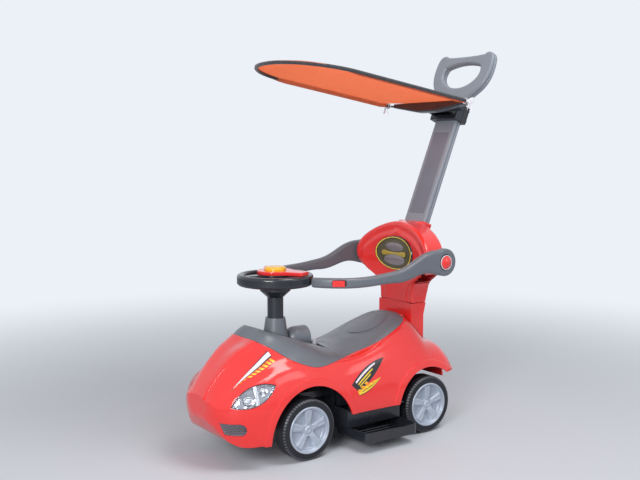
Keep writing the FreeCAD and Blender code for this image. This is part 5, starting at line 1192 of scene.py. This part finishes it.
# %% Print group
BAR_SHARE = 0.56
BAND_SOCKETS = ("Low", "High", "Start", "End", "Bars", "Slant")
film_group, into, outof = new_group(
    "printed_bands", list(zip(BAND_SOCKETS, (0.0, 1.0, 0.0, 1.0, 0.0, 0.0))), [("Mask", "NodeSocketFloat")])
place = add_node(film_group, "ShaderNodeTexCoord")
split = add_node(film_group, "ShaderNodeSeparateXYZ")
wire(film_group, (place, "UV", split, "Vector"))
limit = into.outputs


def figure(first, operation, second):
    """A sum, product or comparison of two sockets in the print group."""
    node = add_node(film_group, "ShaderNodeMath", operation=operation)
    film_group.links.new(first, node.inputs[0])
    film_group.links.new(second, node.inputs[1])
    return node.outputs["Value"]


band = figure(figure(split.outputs["X"], "GREATER_THAN", limit["Low"]), "MULTIPLY",
              figure(split.outputs["X"], "LESS_THAN", limit["High"]))
reach = figure(figure(split.outputs["Y"], "GREATER_THAN", limit["Start"]), "MULTIPLY",
               figure(split.outputs["Y"], "LESS_THAN", limit["End"]))
sweep = figure(figure(split.outputs["Y"], "MULTIPLY", limit["Bars"]), "ADD",
               figure(split.outputs["X"], "MULTIPLY", limit["Slant"]))
saw = add_node(film_group, "ShaderNodeMath", operation="FRACT")
bar = add_node(film_group, "ShaderNodeMath", {1: BAR_SHARE}, operation="LESS_THAN")
film_group.links.new(sweep, saw.inputs[0])
wire(film_group, (saw, "Value", bar, 0))
mask = figure(figure(band, "MULTIPLY", reach), "MULTIPLY", bar.outputs["Value"])
film_group.links.new(mask, outof.inputs["Mask"])


def film(name, ground, bands):
    """Printed film: a ground colour and bands of (colour, low, high, start, end, bars, slant)."""
    material, tree, shader = new_finish(name, {"Coat Weight": 0.2})
    skin = add_node(tree, "ShaderNodeGroup", {
        "Colour": paint(ground), "Drift colour": paint(0.9 * c for c in ground), "Gloss roughness": 0.22,
        "Rubbed roughness": 0.36}, node_tree=skin_group)
    top = skin
    shown = "Colour"
    for tone, *limits in bands:
        mask = add_node(tree, "ShaderNodeGroup", zip(BAND_SOCKETS, limits), node_tree=film_group)
        mix = add_node(tree, "ShaderNodeMix", {"B": paint(tone)}, data_type="RGBA")
        wire(tree, (mask, "Mask", mix, "Factor"), (top, shown, mix, "A"))
        top = mix
        shown = "Result"
    wire(tree, (top, shown, shader, "Base Color"), (skin, "Roughness", shader, "Roughness"))
    return material


INK = (0.016, 0.014, 0.018)
PAPER = (0.82, 0.74, 0.80)
GOLD = (0.93, 0.66, 0.05)
AMBER = (0.98, 0.40, 0.02)
OLIVE = (0.085, 0.072, 0.030)
hood_print = film("hood_print", (0.80, 0.045, 0.030), [
    (INK, 0.0, 0.52, 0.0, 1.0, 0, 0), (PAPER, 0.07, 0.42, 0.0, 0.93, 0, 0),
    (AMBER, 0.56, 0.78, 0.0, 1.0, 11, 0.9), (GOLD, 0.74, 0.99, 0.0, 0.62, 11, 0.9)])
flash_print = film("flash_print", INK, [
    (PAPER, 0.70, 0.86, 0.10, 0.74, 0, 0), (GOLD, 0.46, 0.56, 0.12, 0.62, 0, 0),
    (GOLD, 0.28, 0.36, 0.12, 0.52, 0, 0), (AMBER, 0.0, 0.20, 0.02, 0.40, 7, 1.2)])
tail_print = film("tail_print", GOLD, [
    (AMBER, 0.55, 1.0, 0.0, 0.9, 5, 1.4), (INK, 0.0, 0.12, 0.0, 1.0, 0, 0),
    (INK, 0.42, 0.52, 0.15, 1.0, 0, 0)])
dial_print = film("dial_print", OLIVE, [
    (GOLD, 0.0, 1.0, 0.055, 0.095, 0, 0), (INK, 0.0, 1.0, 0.0, 0.05, 0, 0),
    (INK, 0.0, 1.0, 0.095, 0.12, 0, 0)])
print("prints made")

# %% Films laid on the body
FILM_ABOVE = 420
FILM_BESIDE = 200
FILM_GAP = 0.00035
FILM_WALL = 0.0002


def bezier(start, middle, end, share):
    return tuple((1 - share) ** 2 * a + 2 * share * (1 - share) * b + share ** 2 * c
                 for a, b, c in zip(start, middle, end))


def lay_film(name, low, high, axis, material):
    """Draw a film between two curves of three points, lay it on the body and give it a mirrored partner."""
    def rule(u, v):
        ends = zip(bezier(*low, v), bezier(*high, v))
        first, second = (a + u * (b - a) for a, b in ends)
        return (first, second, FILM_ABOVE) if axis == "Z" else (FILM_BESIDE, first, second)

    piece = bent_grid(name + "_left", 12, 48, rule)
    lay_on(piece, skins["body_shell"], axis, FILM_GAP)
    piece.data.flip_normals()
    thicken(piece, FILM_WALL)
    for film_piece in (piece, carried(piece, name + "_right", FLIP)):
        mount(film_piece, "frame", material, 60)


lay_film("hood_stripe", ((81.5, -297.5), (80.0, -348.0), (88.8, -404.0)),
         ((97.6, -285.5), (99.5, -336.0), (89.4, -405.5)), "Z", hood_print)
lay_film("side_flash", ((-66, 146), (-22, 164), (26, 218)),
         ((-86, 164), (-40, 212), (26, 218)), "X", flash_print)
lay_film("side_flash_tail", ((-64, 136), (-30, 138), (8, 172)),
         ((-70, 148), (-26, 164), (8, 172)), "X", tail_print)
print("films laid")

# %% [markdown]
# ## Dial on the backrest
# The oval on the backrest is a pressed plate with a gold rim, shown here as a plain pair of dial windows
# with a gold band between them. The plate is a grid wrapped round its middle and bent to the backrest's
# curve, with the rim raised by soft steps. The two windows are low domes made in the same way.

# %% Backrest dial
DIAL_AXIS_Y = -217.8
DIAL_RADIUS = 383.0
DIAL_Z = 465.0
DIAL_HALF_WIDTH = 78
DIAL_HALF_HEIGHT = 47
DIAL_RIM = 1.1
DIAL_DISH = 1.6
DIAL_EDGE = 3.0
WINDOWS = {"dial_window_upper": (17, 36, 12), "dial_window_lower": (-18, 43, 15)}
WINDOW_FOOT = 1.2
WINDOW_RISE = 2.6
BAND_HALF = 50
BAND_WAIST = 3.0
BAND_FLARE = 7.5
BAND_DROP = 0.5
BAND_PROUD = 2.0
BAND_CROWN = 0.5
BAND_WALL = 0.0006


def dial_surface(x, z, proud):
    """A place on the backrest's curved face, standing proud of it."""
    return x, DIAL_AXIS_Y + math.sqrt((DIAL_RADIUS - proud) ** 2 - x * x), z


def oval(name, across, along, z, half_width, half_height, profile):
    """A plate or dome on the backrest; profile gives its rise at a share of its radius."""
    def rule(u, v):
        turn = -u * 2 * math.pi
        share = 1 - v
        return dial_surface(half_width * share * math.cos(turn), z + half_height * share * math.sin(turn),
                            profile(share))

    piece = bent_grid(name, across, along, rule)
    close_up(piece, cap=True)
    return piece


def plate_profile(share):
    ring = DIAL_RIM * ridge(share, 0.86, 0.90, 0.95, 0.995)
    dish = DIAL_DISH * (1 - between(0.3, 0.86, share))
    edge = -DIAL_EDGE * between(0.985, 1.0, share)
    return ring + dish + edge


def window_profile(share):
    return WINDOW_FOOT + WINDOW_RISE * math.sqrt(max(0.0, 1 - share * share))


def dial_band_rule(u, v):
    x = BAND_HALF * (2 * u - 1)
    share = x / BAND_HALF
    half = (BAND_WAIST + BAND_FLARE * share ** 2) * math.sqrt(max(0.0, 1 - share ** 6))
    proud = BAND_PROUD + BAND_CROWN * math.sin(v * math.pi)
    return dial_surface(x, DIAL_Z - BAND_DROP + half * (2 * v - 1), proud)


window_grey = moulded("window_grey", (0.25, 0.22, 0.23), (0.16, 0.14, 0.15), (0.14, 0.22),
                      (300, 0.05, 0.0004), coat=0.5)
gold_band = moulded("gold_band", (0.50, 0.36, 0.05), (0.40, 0.27, 0.03), (0.25, 0.36),
                    (500, 0.1, 0.0004), coat=0.3)
dial = oval("backrest_dial", 96, 40, DIAL_Z, DIAL_HALF_WIDTH, DIAL_HALF_HEIGHT, plate_profile)
mount(dial, "frame", dial_print, 60)
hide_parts("backrest_badge")
dial_band = bent_grid("dial_band", 32, 8, dial_band_rule)
close_up(dial_band)
thicken(dial_band, BAND_WALL)
mount(dial_band, "frame", gold_band, 60)
for name, (rise, half_width, half_height) in WINDOWS.items():
    window = oval(name, 48, 12, DIAL_Z + rise, half_width, half_height, window_profile)
    mount(window, "frame", window_grey, 60)
print("dial made")
